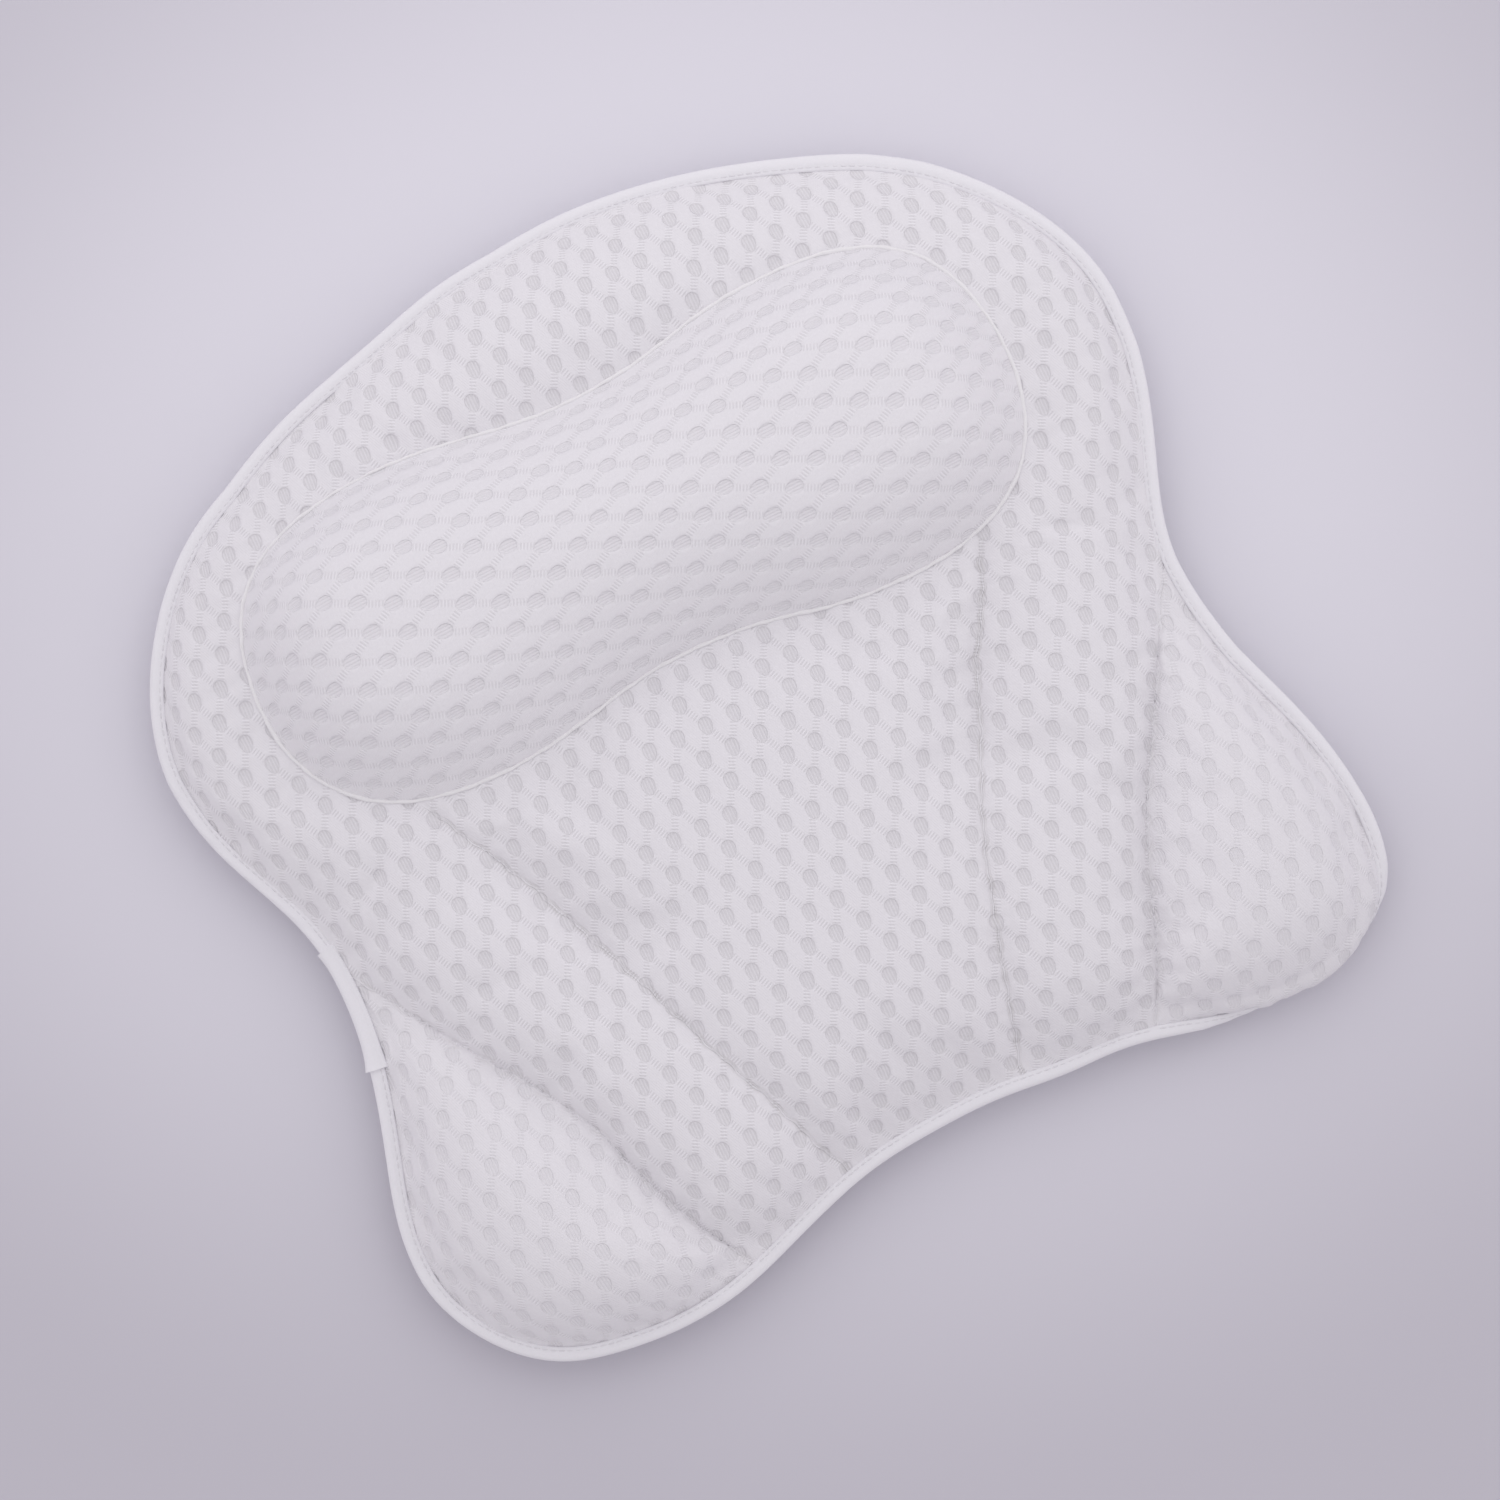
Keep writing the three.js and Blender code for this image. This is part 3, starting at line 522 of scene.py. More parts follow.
def rolled_under(points):
    """Bends the right wing's lower edge down and under, as on a tube."""
    moved = points.copy()
    near = (points[:, 0] > ROLL_CORNER[0]) & (points[:, 1] < ROLL_CORNER[1])
    if not near.any():
        return moved
    inset, walk, way = edge_places(points[near, :2])
    ends = np.clip((walk - ROLL_START) / ROLL_EASE, 0, 1) * np.clip((ROLL_END - walk) / ROLL_EASE, 0, 1)
    bend = np.maximum(ROLL_ANGLE * ends * ends * (3 - 2 * ends), 1e-6) / ROLL_REACH
    past = np.maximum(ROLL_REACH - inset, 0)
    height = points[near, 2] - SEAM_Z
    turn = bend * past
    out = np.sin(turn) / bend + height * np.sin(turn) - past
    drop = (1 - np.cos(turn)) / bend + height * (1 - np.cos(turn))
    moved[near, :2] += way * out[:, None]
    moved[near, 2] -= drop
    return moved


def as_laid(points):
    """Moves points, in millimetres, from the even pattern to how this pillow lies."""
    rolled = rolled_under(points)
    plan = points[:, :2]
    apart = np.linalg.norm(plan[:, None] - PULLS[None, :, :2], axis=2)
    pull = fading(apart, PULL_REACH)
    moved = rolled[:, :2] + pull @ PULLS[:, 2:] / np.maximum(pull.sum(1), 0.9)[:, None]
    share = fading(outside_bolster(plan), BOLSTER_DRAG)
    turn = BOLSTER_TURN * share
    arm = moved - (0, BOLSTER_Y)
    turned = np.stack([
        arm[:, 0] * np.cos(turn) - arm[:, 1] * np.sin(turn),
        arm[:, 0] * np.sin(turn) + arm[:, 1] * np.cos(turn),
    ], axis=1)
    return np.column_stack([turned + (0, BOLSTER_Y) + share[:, None] * BOLSTER_MOVE, rolled[:, 2]])


def mesh_piece(name, points, faces, edges=()):
    """A piece from points in millimetres."""
    mesh = bpy.data.meshes.new(name)
    mesh.from_pydata((np.array(points) * MM).tolist(), edges, faces)
    piece = bpy.data.objects.new(name, mesh)
    bpy.context.scene.collection.objects.link(piece)
    mesh.shade_smooth()
    return piece


def positions(piece):
    """The piece's points in millimetres."""
    flat = np.empty(len(piece.data.vertices) * 3)
    piece.data.vertices.foreach_get("co", flat)
    return flat.reshape(-1, 3) / MM


def move_to(piece, points):
    piece.data.vertices.foreach_set("co", (points * MM).ravel())
    piece.data.update()


def only(piece):
    """Makes the piece the only selected one, and active."""
    bpy.ops.object.select_all(action="DESELECT")
    piece.select_set(True)
    bpy.context.view_layer.objects.active = piece


def edge_ends(faces):
    """Both ends of every edge of the faces, as two rows of point numbers."""
    ends = set()
    for face in faces:
        for a, b in zip(face, face[1:] + face[:1]):
            ends.add((min(a, b), max(a, b)))
    return np.array(sorted(ends)).T


def settle(heights, faces, pinned, rounds):
    """Evens out the heights of a stuffed panel between its seams."""
    first, second = edge_ends(faces)
    count = np.bincount(first, minlength=len(heights)) + np.bincount(second, minlength=len(heights))
    settled = heights.copy()
    for step in range(rounds):
        total = np.bincount(first, settled[second], len(heights))
        total += np.bincount(second, settled[first], len(heights))
        settled = np.where(pinned, heights, total / count)
    return settled


SIM_FRAMES = 24
FILL_PRESSURE = 3
FILL_MOST = 5
CLOTH_SETTINGS = {
    "quality": 6,
    "mass": 0.15,
    "tension_stiffness": 12,
    "compression_stiffness": 12,
    "shear_stiffness": 4,
    "bending_stiffness": 0.3,
    "use_pressure": True,
    "uniform_pressure_force": FILL_PRESSURE,
    "pin_stiffness": 1,
}


def inflate(piece, pinned, slack):
    """Fills the cloth by simulation: pinned points stay, the rest move by less than FILL_MOST."""
    scene = bpy.context.scene
    before = positions(piece)
    held = piece.vertex_groups.new(name="sewn")
    held.add(np.nonzero(pinned)[0].tolist(), 1.0, "REPLACE")
    cloth = piece.modifiers.new("Fill", "CLOTH")
    for key, value in CLOTH_SETTINGS.items():
        setattr(cloth.settings, key, value)
    cloth.settings.shrink_min = -slack
    cloth.settings.vertex_group_mass = held.name
    cloth.settings.effector_weights.gravity = 0
    cloth.collision_settings.use_collision = False
    cloth.point_cache.frame_start = 1
    cloth.point_cache.frame_end = SIM_FRAMES
    for step in range(1, SIM_FRAMES + 1):
        scene.frame_set(step)
    only(piece)
    bpy.ops.object.modifier_apply(modifier=cloth.name)
    scene.frame_set(1)
    moved = positions(piece) - before
    far = np.linalg.norm(moved, axis=1, keepdims=True)
    kept = FILL_MOST * np.tanh(far / FILL_MOST) / np.maximum(far, 1e-9)
    move_to(piece, before + moved * kept)
    piece.vertex_groups.clear()


def corner_points(mesh):
    """The point number of every corner of the faces."""
    numbers = np.empty(len(mesh.loops), int)
    mesh.loops.foreach_get("vertex_index", numbers)
    return numbers


def lay_flat(piece, grain):
    """Gives the cloth a cutting pattern, in millimetres, that keeps its lengths, turned to its grain."""
    only(piece)
    plan = positions(piece)[:, :2]
    piece.data.uv_layers.new(name="cut")
    bpy.ops.object.mode_set(mode="EDIT")
    bpy.ops.mesh.select_all(action="SELECT")
    bpy.ops.uv.unwrap(method="MINIMUM_STRETCH", fill_holes=False, iterations=30)
    bpy.ops.object.mode_set(mode="OBJECT")
    mesh = piece.data
    flat = np.empty(len(mesh.loops) * 2)
    mesh.uv_layers.active.data.foreach_get("uv", flat)
    flat = flat.reshape(-1, 2)
    here = plan[corner_points(mesh)]
    flat -= flat.mean(0)
    target = here - here.mean(0)
    u, stretch, v = np.linalg.svd(flat.T @ target)
    turned = flat @ (u @ v)
    size = np.sqrt(surface_area(mesh) / flat_area(mesh, turned))
    lean = np.array([(math.cos(grain), math.sin(grain)), (-math.sin(grain), math.cos(grain))])
    placed = (turned * size + here.mean(0)) @ lean
    mesh.uv_layers.active.data.foreach_set("uv", placed.ravel())


def surface_area(mesh):
    return sum(face.area for face in mesh.polygons) / MM**2


def flat_area(mesh, corners):
    total = 0
    for face in mesh.polygons:
        part = corners[face.loop_start : face.loop_start + face.loop_total]
        ahead = np.roll(part, -1, axis=0)
        total += abs((part[:, 0] * ahead[:, 1] - part[:, 1] * ahead[:, 0]).sum()) / 2
    return total


def refine(piece, levels):
    """Subdivides the cloth and keeps the result."""
    only(piece)
    smooth = piece.modifiers.new("Refine", "SUBSURF")
    smooth.levels = levels
    smooth.render_levels = levels
    bpy.ops.object.modifier_apply(modifier=smooth.name)
    piece.data.shade_smooth()


def keep_plan(piece, plan):
    """Notes each point's place in the plan, in millimetres."""
    layer = piece.data.uv_layers.new(name="plan", do_init=False)
    layer.data.foreach_set("uv", plan[corner_points(piece.data)].ravel())


def flat_places(piece, layer):
    """Each point's place on the cutting pattern or in the plan, in millimetres."""
    mesh = piece.data
    flat = np.empty(len(mesh.loops) * 2)
    mesh.uv_layers[layer].data.foreach_get("uv", flat)
    places = np.empty((len(mesh.vertices), 2))
    places[corner_points(mesh)] = flat.reshape(-1, 2)
    return places


HOLE_PITCH = 11.4
HOLE_ROW = 11.3
HOLE_HALF_WIDTH = 2.65
HOLE_HALF_LENGTH = 3.65
HOLE_EGG = 0.2
HOLE_LIP = 1.2
HOLE_SLOPE = 0.45


def wrapped(value, pitch):
    return value - pitch * np.round(value / pitch)


def hole_reach(places):
    """Distance from the nearest hole's middle, where 1 is the hole's edge. Holes are wider at one end."""
    reach = []
    for shift in (0, 0.5):
        across = wrapped(places[:, 0] - shift * HOLE_PITCH, HOLE_PITCH) / HOLE_HALF_WIDTH
        along = wrapped(places[:, 1] - 2 * shift * HOLE_ROW, 2 * HOLE_ROW) / HOLE_HALF_LENGTH
        reach.append(np.hypot(across / (1 + HOLE_EGG * along), along))
    return np.minimum(*reach)


def knit_holes(piece, depth):
    """Presses the knitted holes into the cloth, by a depth for each point."""
    reach = hole_reach(flat_places(piece, "cut"))
    share = np.clip((HOLE_LIP - reach) / HOLE_SLOPE, 0, 1)
    pressed = depth * share * share * (3 - 2 * share)
    normals = np.empty(len(piece.data.vertices) * 3)
    piece.data.vertices.foreach_get("normal", normals)
    move_to(piece, positions(piece) - pressed[:, None] * normals.reshape(-1, 3))


def math_operator(operation, swapped=False):
    """An operator of wires that adds a math node."""

    def operate(wire, other):
        return wire.math(operation, *((other, wire) if swapped else (wire, other)))

    return operate


class Wire:
    """A socket of a material, with arithmetic."""

    def __init__(self, tree, socket=None):
        self.tree = tree
        self.socket = socket

    def make(self, kind, settings=None, inputs=None, output=0):
        node = self.tree.nodes.new(kind)
        for key, value in (settings or {}).items():
            setattr(node, key, value)
        for key, value in (inputs or {}).items():
            if isinstance(value, Wire):
                self.tree.links.new(value.socket, node.inputs[key])
            else:
                node.inputs[key].default_value = value
        return Wire(self.tree, node.outputs[output])

    def math(self, operation, *values):
        return self.make("ShaderNodeMath", {"operation": operation}, dict(enumerate(values)))

    __add__ = math_operator("ADD")
    __radd__ = math_operator("ADD", True)
    __sub__ = math_operator("SUBTRACT")
    __rsub__ = math_operator("SUBTRACT", True)
    __mul__ = math_operator("MULTIPLY")
    __rmul__ = math_operator("MULTIPLY", True)
    __truediv__ = math_operator("DIVIDE")

    def axes(self):
        """The parts of a vector, each as a wire."""
        node = self.tree.nodes.new("ShaderNodeSeparateXYZ")
        self.tree.links.new(self.socket, node.inputs[0])
        return [Wire(self.tree, part) for part in node.outputs]

    def into(self, shader, name):
        self.tree.links.new(self.socket, shader.inputs[name])

    def between(self, low, high):
        """0 below low, 1 above high, smooth between them. Falls where low is above high."""
        settings = {"interpolation_type": "SMOOTHSTEP"}
        if low <= high:
            return self.make("ShaderNodeMapRange", settings, {0: self, 1: low, 2: high})
        return 1 - self.make("ShaderNodeMapRange", settings, {0: self, 1: high, 2: low})

    def colour(self, low, high):
        """A colour between two, by this share. The first may come from another node."""
        first = low if isinstance(low, Wire) else (*low, 1)
        return self.make("ShaderNodeMix", {"data_type": "RGBA"}, {6: first, 7: (*high, 1), 0: self}, 2)


def new_material(name):
    material = bpy.data.materials.new(name)
    material.use_nodes = True
    tree = material.node_tree
    return material, Wire(tree), tree.nodes["Principled BSDF"]


def finish(shader, values):
    for name, value in values.items():
        shader.inputs[name].default_value = value


YARN_COLOUR = (0.85, 0.835, 0.865)
# The darker colour that painted shade in holes, rims and ladder gaps mixes towards, as the random fuzz does
# too.
PAINTED_SHADE_TINT = (0.66, 0.645, 0.665)
LINK_LENGTH = math.hypot(HOLE_PITCH / 2, HOLE_ROW)
LINK_SPACING = HOLE_PITCH * HOLE_ROW / LINK_LENGTH
YARN_PITCH = 1.19
RUNG_PITCH = 1.22
# The warm grey of the painted shade beside the sewn seams, how far apart its darker puckers are, and how
# strongly it is painted.
CREASE_PAINTED_SHADE_TINT = (0.55, 0.53, 0.50)
POCKET_PITCH = 12.4
POCKET_PAINTED_SHADE = 0.22
CHANNEL_LINE = 0.95
FOLD_LINE = 1.0


def seam_marks(paper):
    """The sewn lines of the channel and the fold, in the plan: a ridge, and a pucker beside it on each side
    that dips the bump and carries painted shade.
    """
    across, y = paper.make("ShaderNodeUVMap", {"uv_map": "plan"}).axes()[:2]
    x = paper.math("ABSOLUTE", across)

    def line(start, end, half_width):
        length = np.linalg.norm(end - start)
        ahead_x, ahead_y = ((end - start) / length).tolist()
        from_x = x - float(start[0])
        from_y = y - float(start[1])
        along = from_x * ahead_x + from_y * ahead_y
        wander = 0.35 * paper.math("SINE", along / 3.1) + 0.25 * paper.math("SINE", along / 1.3)
        aside = paper.math("ABSOLUTE", from_x * ahead_y - from_y * ahead_x + wander)
        shown = along.between(2, 9)
        pocket = 0.65 + 0.35 * paper.math("SINE", along * (2 * math.pi / POCKET_PITCH))
        ridge = aside.between(0.55 * half_width, 0.2 * half_width)
        near = aside.between(1.5 * half_width, 0.8 * half_width)
        beside = near * aside.between(0.25 * half_width, 0.6 * half_width)
        return ridge * shown, beside * pocket * shown

    channel_ridge, channel_dip_and_painted_shade = line(CHANNEL_UPPER, CHANNEL_LOWER, CHANNEL_LINE)
    fold_ridge, fold_dip_and_painted_shade = line(FOLD_UPPER, FOLD_LOWER, FOLD_LINE)
    return channel_ridge + 0.6 * fold_ridge, channel_dip_and_painted_shade + 0.5 * fold_dip_and_painted_shade


def air_mesh(name, floor_yarn_and_painted_shade, rung_stitch_and_painted_shade, relief, sewn=False):
    """Knitted spacer mesh on the cutting pattern: holes with yarn lines, and ladders between them. The hole
    floors and a ring at their rims get painted shade, and the ladder stitches light and dark dashes, the
    dark ones painted shade in their gaps.
    """
    material, paper, shader = new_material(name)
    pattern = paper.make("ShaderNodeUVMap", {"uv_map": "cut"})
    u, v = pattern.axes()[:2]

    def wave(value, pitch):
        return paper.math("SINE", value * (2 * math.pi / pitch))

    def wrapped_wire(value, pitch):
        return paper.math("WRAP", value, pitch / 2, -pitch / 2)

    def reach(shift):
        across = wrapped_wire(u - shift * HOLE_PITCH, HOLE_PITCH) / HOLE_HALF_WIDTH
        along = wrapped_wire(v - 2 * shift * HOLE_ROW, 2 * HOLE_ROW) / HOLE_HALF_LENGTH
        narrowed = across / (1 + HOLE_EGG * along)
        return paper.math("SQRT", narrowed * narrowed + along * along)

    def ladder(lean):
        ahead_u = lean * HOLE_PITCH / 2 / LINK_LENGTH
        ahead_v = HOLE_ROW / LINK_LENGTH
        aside = paper.math("ABSOLUTE", wrapped_wire(u * ahead_v - v * ahead_u, LINK_SPACING))
        return aside.between(1.7, 1.0) * wave(u * ahead_u + v * ahead_v, RUNG_PITCH)

    hole = paper.math("MINIMUM", reach(0), reach(0.5))
    # The hole floor and a thin ring at its rim, both darkened below as painted shade.
    floor = hole.between(1.0, 0.9)
    rim = hole.between(0.78, 0.94) * hole.between(1.1, 0.98)
    cloth = hole.between(1.04, 1.16)
    yarn = wave(u, YARN_PITCH)
    # Ladder stitches as light and dark dashes; the dark ones are painted shade in the gaps between
    # stitches.
    rungs = cloth * (ladder(1) + ladder(-1))
    fuzz = paper.make("ShaderNodeTexNoise", {}, {"Vector": pattern, "Scale": 0.8, "Detail": 3.0})
    # Painted shade in the holes and at their rims, with the floor's real yarn lines across it.
    shade = floor * (floor_yarn_and_painted_shade + 0.7 * floor_yarn_and_painted_shade * yarn) + 0.6 * floor_yarn_and_painted_shade * rim
    tone = 0.25 + shade + rung_stitch_and_painted_shade * rungs + 0.2 * (fuzz - 0.5)
    colour = tone.colour(YARN_COLOUR, PAINTED_SHADE_TINT)
    height = floor * (0.6 * yarn - 1.5) + rungs * 0.6 + cloth * wave(u + 0.5 * v, 0.95) * 0.15 + fuzz
    if sewn:
        ridge, pocket_dip_and_painted_shade = seam_marks(paper)
        # Painted shade in the puckered crease beside the channel and fold seams.
        colour = (POCKET_PAINTED_SHADE * pocket_dip_and_painted_shade).colour(colour, CREASE_PAINTED_SHADE_TINT)
        height = height + 1.5 * ridge - 2 * pocket_dip_and_painted_shade
    colour.into(shader, "Base Color")
    bump = paper.make("ShaderNodeBump", {}, {"Strength": 0.7, "Distance": relief, "Height": height})
    bump.into(shader, "Normal")
    finish(shader, {"Roughness": 0.85, "Specular IOR Level": 0.15, "Sheen Weight": 0.1})
    return material


def woven(name, colour, pitch):
    """Plain matt tape or thread with a fine weave."""
    material, paper, shader = new_material(name)
    place = paper.make("ShaderNodeTexCoord", {}, {}, 3)
    scale = 1 / (pitch * MM)
    fuzz = paper.make("ShaderNodeTexNoise", {}, {"Vector": place, "Scale": scale, "Detail": 2.0})
    bump = paper.make("ShaderNodeBump", {}, {"Strength": 0.5, "Distance": 0.1 * MM, "Height": fuzz})
    bump.into(shader, "Normal")
    low = tuple(0.95 * part for part in colour)
    fuzz.colour(low, colour).into(shader, "Base Color")
    finish(shader, {"Roughness": 0.9, "Specular IOR Level": 0.1})
    return material


def moulded(name, colour, roughness, clear):
    """Moulded plastic with faint flow marks: clear from 0 to 1."""
    material, paper, shader = new_material(name)
    place = paper.make("ShaderNodeTexCoord", {}, {}, 3)
    flow = paper.make("ShaderNodeTexNoise", {}, {"Vector": place, "Scale": 90.0, "Detail": 3.0})
    low = tuple(0.93 * part for part in colour)
    flow.colour(low, colour).into(shader, "Base Color")
    (roughness + 0.25 * (flow - 0.5)).into(shader, "Roughness")
    finish(shader, {"Transmission Weight": clear, "IOR": 1.5})
    return material


def table_with_painted_light(name, near, far):
    """A smooth pale table with a painted pool of light: lighter in the middle, painted shade further out.
    """
    material, paper, shader = new_material(name)
    x, y = paper.make("ShaderNodeTexCoord", {}, {}, 3).axes()[:2]
    aside = (x * RIGHT_WAY[0] + y * RIGHT_WAY[1] - PAINTED_LIGHT_MIDDLE[0]) / PAINTED_LIGHT_REACH[0]
    along = (x * UP_WAY[0] + y * UP_WAY[1] - PAINTED_LIGHT_MIDDLE[1]) / PAINTED_LIGHT_REACH[1]
    away = paper.math("SQRT", aside * aside + along * along)
    # Painted light and shade: lighter in the middle, darker further out.
    away.between(0.42, 1.12).colour(near, far).into(shader, "Base Color")
    finish(shader, {"Roughness": 0.8})
    return material


def dress(piece, material):
    piece.data.materials.clear()
    piece.data.materials.append(material)


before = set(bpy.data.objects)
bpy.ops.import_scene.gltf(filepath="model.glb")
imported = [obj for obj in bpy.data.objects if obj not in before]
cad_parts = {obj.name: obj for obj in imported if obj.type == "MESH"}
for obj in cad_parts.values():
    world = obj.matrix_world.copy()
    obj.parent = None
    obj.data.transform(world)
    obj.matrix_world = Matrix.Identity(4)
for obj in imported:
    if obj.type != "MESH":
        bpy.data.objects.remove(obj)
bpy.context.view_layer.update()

BODY_MESH = air_mesh("body_air_mesh", floor_yarn_and_painted_shade=0.25, rung_stitch_and_painted_shade=0.46, relief=0.18 * MM, sewn=True)
BOLSTER_MESH = air_mesh("bolster_air_mesh", floor_yarn_and_painted_shade=0.07, rung_stitch_and_painted_shade=0.26, relief=0.22 * MM)
WING_MESH = air_mesh("wing_air_mesh", floor_yarn_and_painted_shade=0.08, rung_stitch_and_painted_shade=0.22, relief=0.2 * MM, sewn=True)
BACK_MESH = air_mesh("back_air_mesh", floor_yarn_and_painted_shade=0.22, rung_stitch_and_painted_shade=0.34, relief=0.14 * MM)
FIBRE = woven("polyester_fibre", (0.82, 0.82, 0.82), pitch=3.0)
THREAD = woven("sewing_thread", (0.80, 0.79, 0.815), pitch=0.5)
TAPE = woven("binding_tape", (0.86, 0.85, 0.88), pitch=0.8)
LIP = woven("seam_edge", (0.86, 0.85, 0.86), pitch=0.8)
VINYL = moulded("clear_vinyl", (0.86, 0.88, 0.90), roughness=0.2, clear=0.6)
PLASTIC = moulded("white_plastic", (0.84, 0.84, 0.85), roughness=0.35, clear=0.0)

# How deep the holes are pressed, how much longer the cloth is cut, and the rounds that even out a panel.
BODY_HOLES = 0.75
WING_HOLES = 0.56
BOLSTER_HOLES = 0.58
BACK_HOLES = 0.5
CLOTH_SLACK = 0.015
TOP_ROUNDS = 6
BOLSTER_ROUNDS = 4
PLAIN_ROUNDS = 2

# Nearer than this to the binding or a fold, or to an inner seam, a point is sewn.
SEWN = 0.3
SEAM_REACH = 0.4
BODY_GRAIN = math.radians(2.2)
BOLSTER_GRAIN = math.radians(90)


def wobble(walk, seed):
    """An uneven hand-sewn wander along a seam, from about -1 to 1."""
    waves = [(61.0, 0.9), (23.0, 2.3), (11.7, 4.1)]
    return sum(np.sin(2 * np.pi * walk / length + phase + seed) for length, phase in waves) / 2


CHANNEL_CREASE = 1.3
FOLD_CREASE = 0.7
CREASE_ROLL = 5.0
SEAM_GATHER = 0.25
PUCKER_PITCH = 6.2
PUCKER_DEPTH = 0.18
PUCKER_REACH = 5.0
GATHER_REACH = 7.0
GATHER_RATE = 1.3
RELIEF_ROLL = 14.0
CHANNEL_EASE = 10.0
CHANNEL_START = 4.0
FREE_REACH = 2.6
FREE_OF_CHANNEL = 9.0
HEM_PLAY = 0.8
BOLSTER_REACH = 3.0


def open_cloth(plan):
    """Where the body's cloth lies free: 1 away from its seams, 0 at them."""
    aside, along = channel_places(plan)
    channel = np.where(along > CHANNEL_START, aside, FREE_OF_CHANNEL)
    edge = edge_distance(plan) + HEM_PLAY
    nearest = np.minimum.reduce([channel, fold_distance(plan), bolster_distance(plan), edge])
    return np.clip(nearest / FREE_REACH, 0, 1)


def open_bolster(plan):
    """Where the bolster's cloth lies free of its seam."""
    return np.clip(bolster_distance(plan) / BOLSTER_REACH, 0, 1)


def sewn_relief(plan):
    """The fine crease and gathers that stitching leaves along the channel seams and the folds."""
    aside, along = channel_places(plan)
    side = np.sign(plan[:, 0])
    shown = np.clip(along / CHANNEL_EASE, 0, 1)
    across = fold_distance(plan)
    walk = (folded(plan) - FOLD_LOWER) @ FOLD_AHEAD

    def puckers(run):
        return np.sin(2 * np.pi * run / PUCKER_PITCH + wobble(run, side))

    crease = CHANNEL_CREASE * shown * (1 - rise(aside, CREASE_ROLL))
    crease += FOLD_CREASE * (1 - rise(across, CREASE_ROLL))
    gather = shown * fading(aside, GATHER_REACH) * wobble(along * GATHER_RATE, side)
    gather += fading(across, GATHER_REACH) * wobble(walk * GATHER_RATE, 2 + side)
    pucker = shown * fading(aside, PUCKER_REACH) * puckers(along)
    pucker += fading(across, PUCKER_REACH) * puckers(walk)
    return rise(edge_distance(plan), RELIEF_ROLL) * (SEAM_GATHER * gather + PUCKER_DEPTH * pucker - crease)


def stuffed(name, pattern, heights, sewn, grain, depth, free, slack, relief=None):
    """A stuffed cloth panel: filled, cut, laid as in use, and knitted."""
    piece = mesh_piece(name, np.column_stack([pattern.plan(), heights]), pattern.faces)
    inflate(piece, sewn, slack)
    filled = positions(piece)
    move_to(piece, laid(filled, pattern.plan()))
    lay_flat(piece, grain)
    move_to(piece, filled)
    keep_plan(piece, pattern.plan())
    refine(piece, 2)
    plan = flat_places(piece, "plan")
    points = positions(piece)
    if relief is not None:
        points[:, 2] += relief(plan)
    move_to(piece, laid(points, plan))
    knit_holes(piece, depth * free(plan))
    return piece


def laid(points, plan):
    """Cloth points moved as their places in the plan are."""
    flat = np.column_stack([plan, points[:, 2]])
    return points + as_laid(flat) - flat


def wing_bend(piece):
    """Bakes the piece's placement into its points; it does not bend the piece across the fold."""
    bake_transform(piece)


def edge_sewn(plan):
    """Which points are held by the binding or a fold."""
    return (edge_distance(plan) < SEWN) | (fold_distance(plan) < SEWN)


def body_sewn(plan):
    """Which points of the body's top are held by a seam."""
    channel = channel_places(plan)[0] < SEAM_REACH
    tucked = inside_bolster(plan) | (bolster_distance(plan) < SEAM_REACH)
    return edge_sewn(plan) | channel | tucked


def top_panel(name, pattern, sewn, depth):
    """A panel of the pillow's top, stuffed between its sewn lines."""
    heights = settle(top_height(pattern.plan()), pattern.faces, sewn, TOP_ROUNDS)
    return stuffed(name, pattern, heights, sewn, BODY_GRAIN, depth, open_cloth, CLOTH_SLACK, sewn_relief)


def body_cover():
    pattern = body_pattern()
    piece = top_panel("body_top", pattern, body_sewn(pattern.plan()), BODY_HOLES)
    dress(piece, BODY_MESH)
    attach(piece, "pillow")
    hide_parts("top_cover")


def wing_cover(side):
    word = SIDE_WORDS[side]
    pattern = wing_pattern(side)
    piece = top_panel(word + "_wing_top", pattern, edge_sewn(pattern.plan()), WING_HOLES)
    dress(piece, WING_MESH)
    wing_bend(piece)
    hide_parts(word + "_wing_top_cover")


def bolster_cover():
    pattern = bolster_pattern()
    plan = pattern.plan()
    sewn = bolster_distance(plan) < SEWN
    heights = settle(bolster_height(plan), pattern.faces, sewn, BOLSTER_ROUNDS)
    piece = stuffed("bolster_top", pattern, heights, sewn, BOLSTER_GRAIN, BOLSTER_HOLES, open_bolster, 0.0)
    dress(piece, BOLSTER_MESH)
    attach(piece, "pillow")
    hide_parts("bolster_cover")


CUP_CENTRES = {"head": (128.46, 118.0), "centre": (45.25, -60.0), "wing": (155.59, -143.47)}
CUP_REACH = 30.0
EYELET_HOLE = 6.4


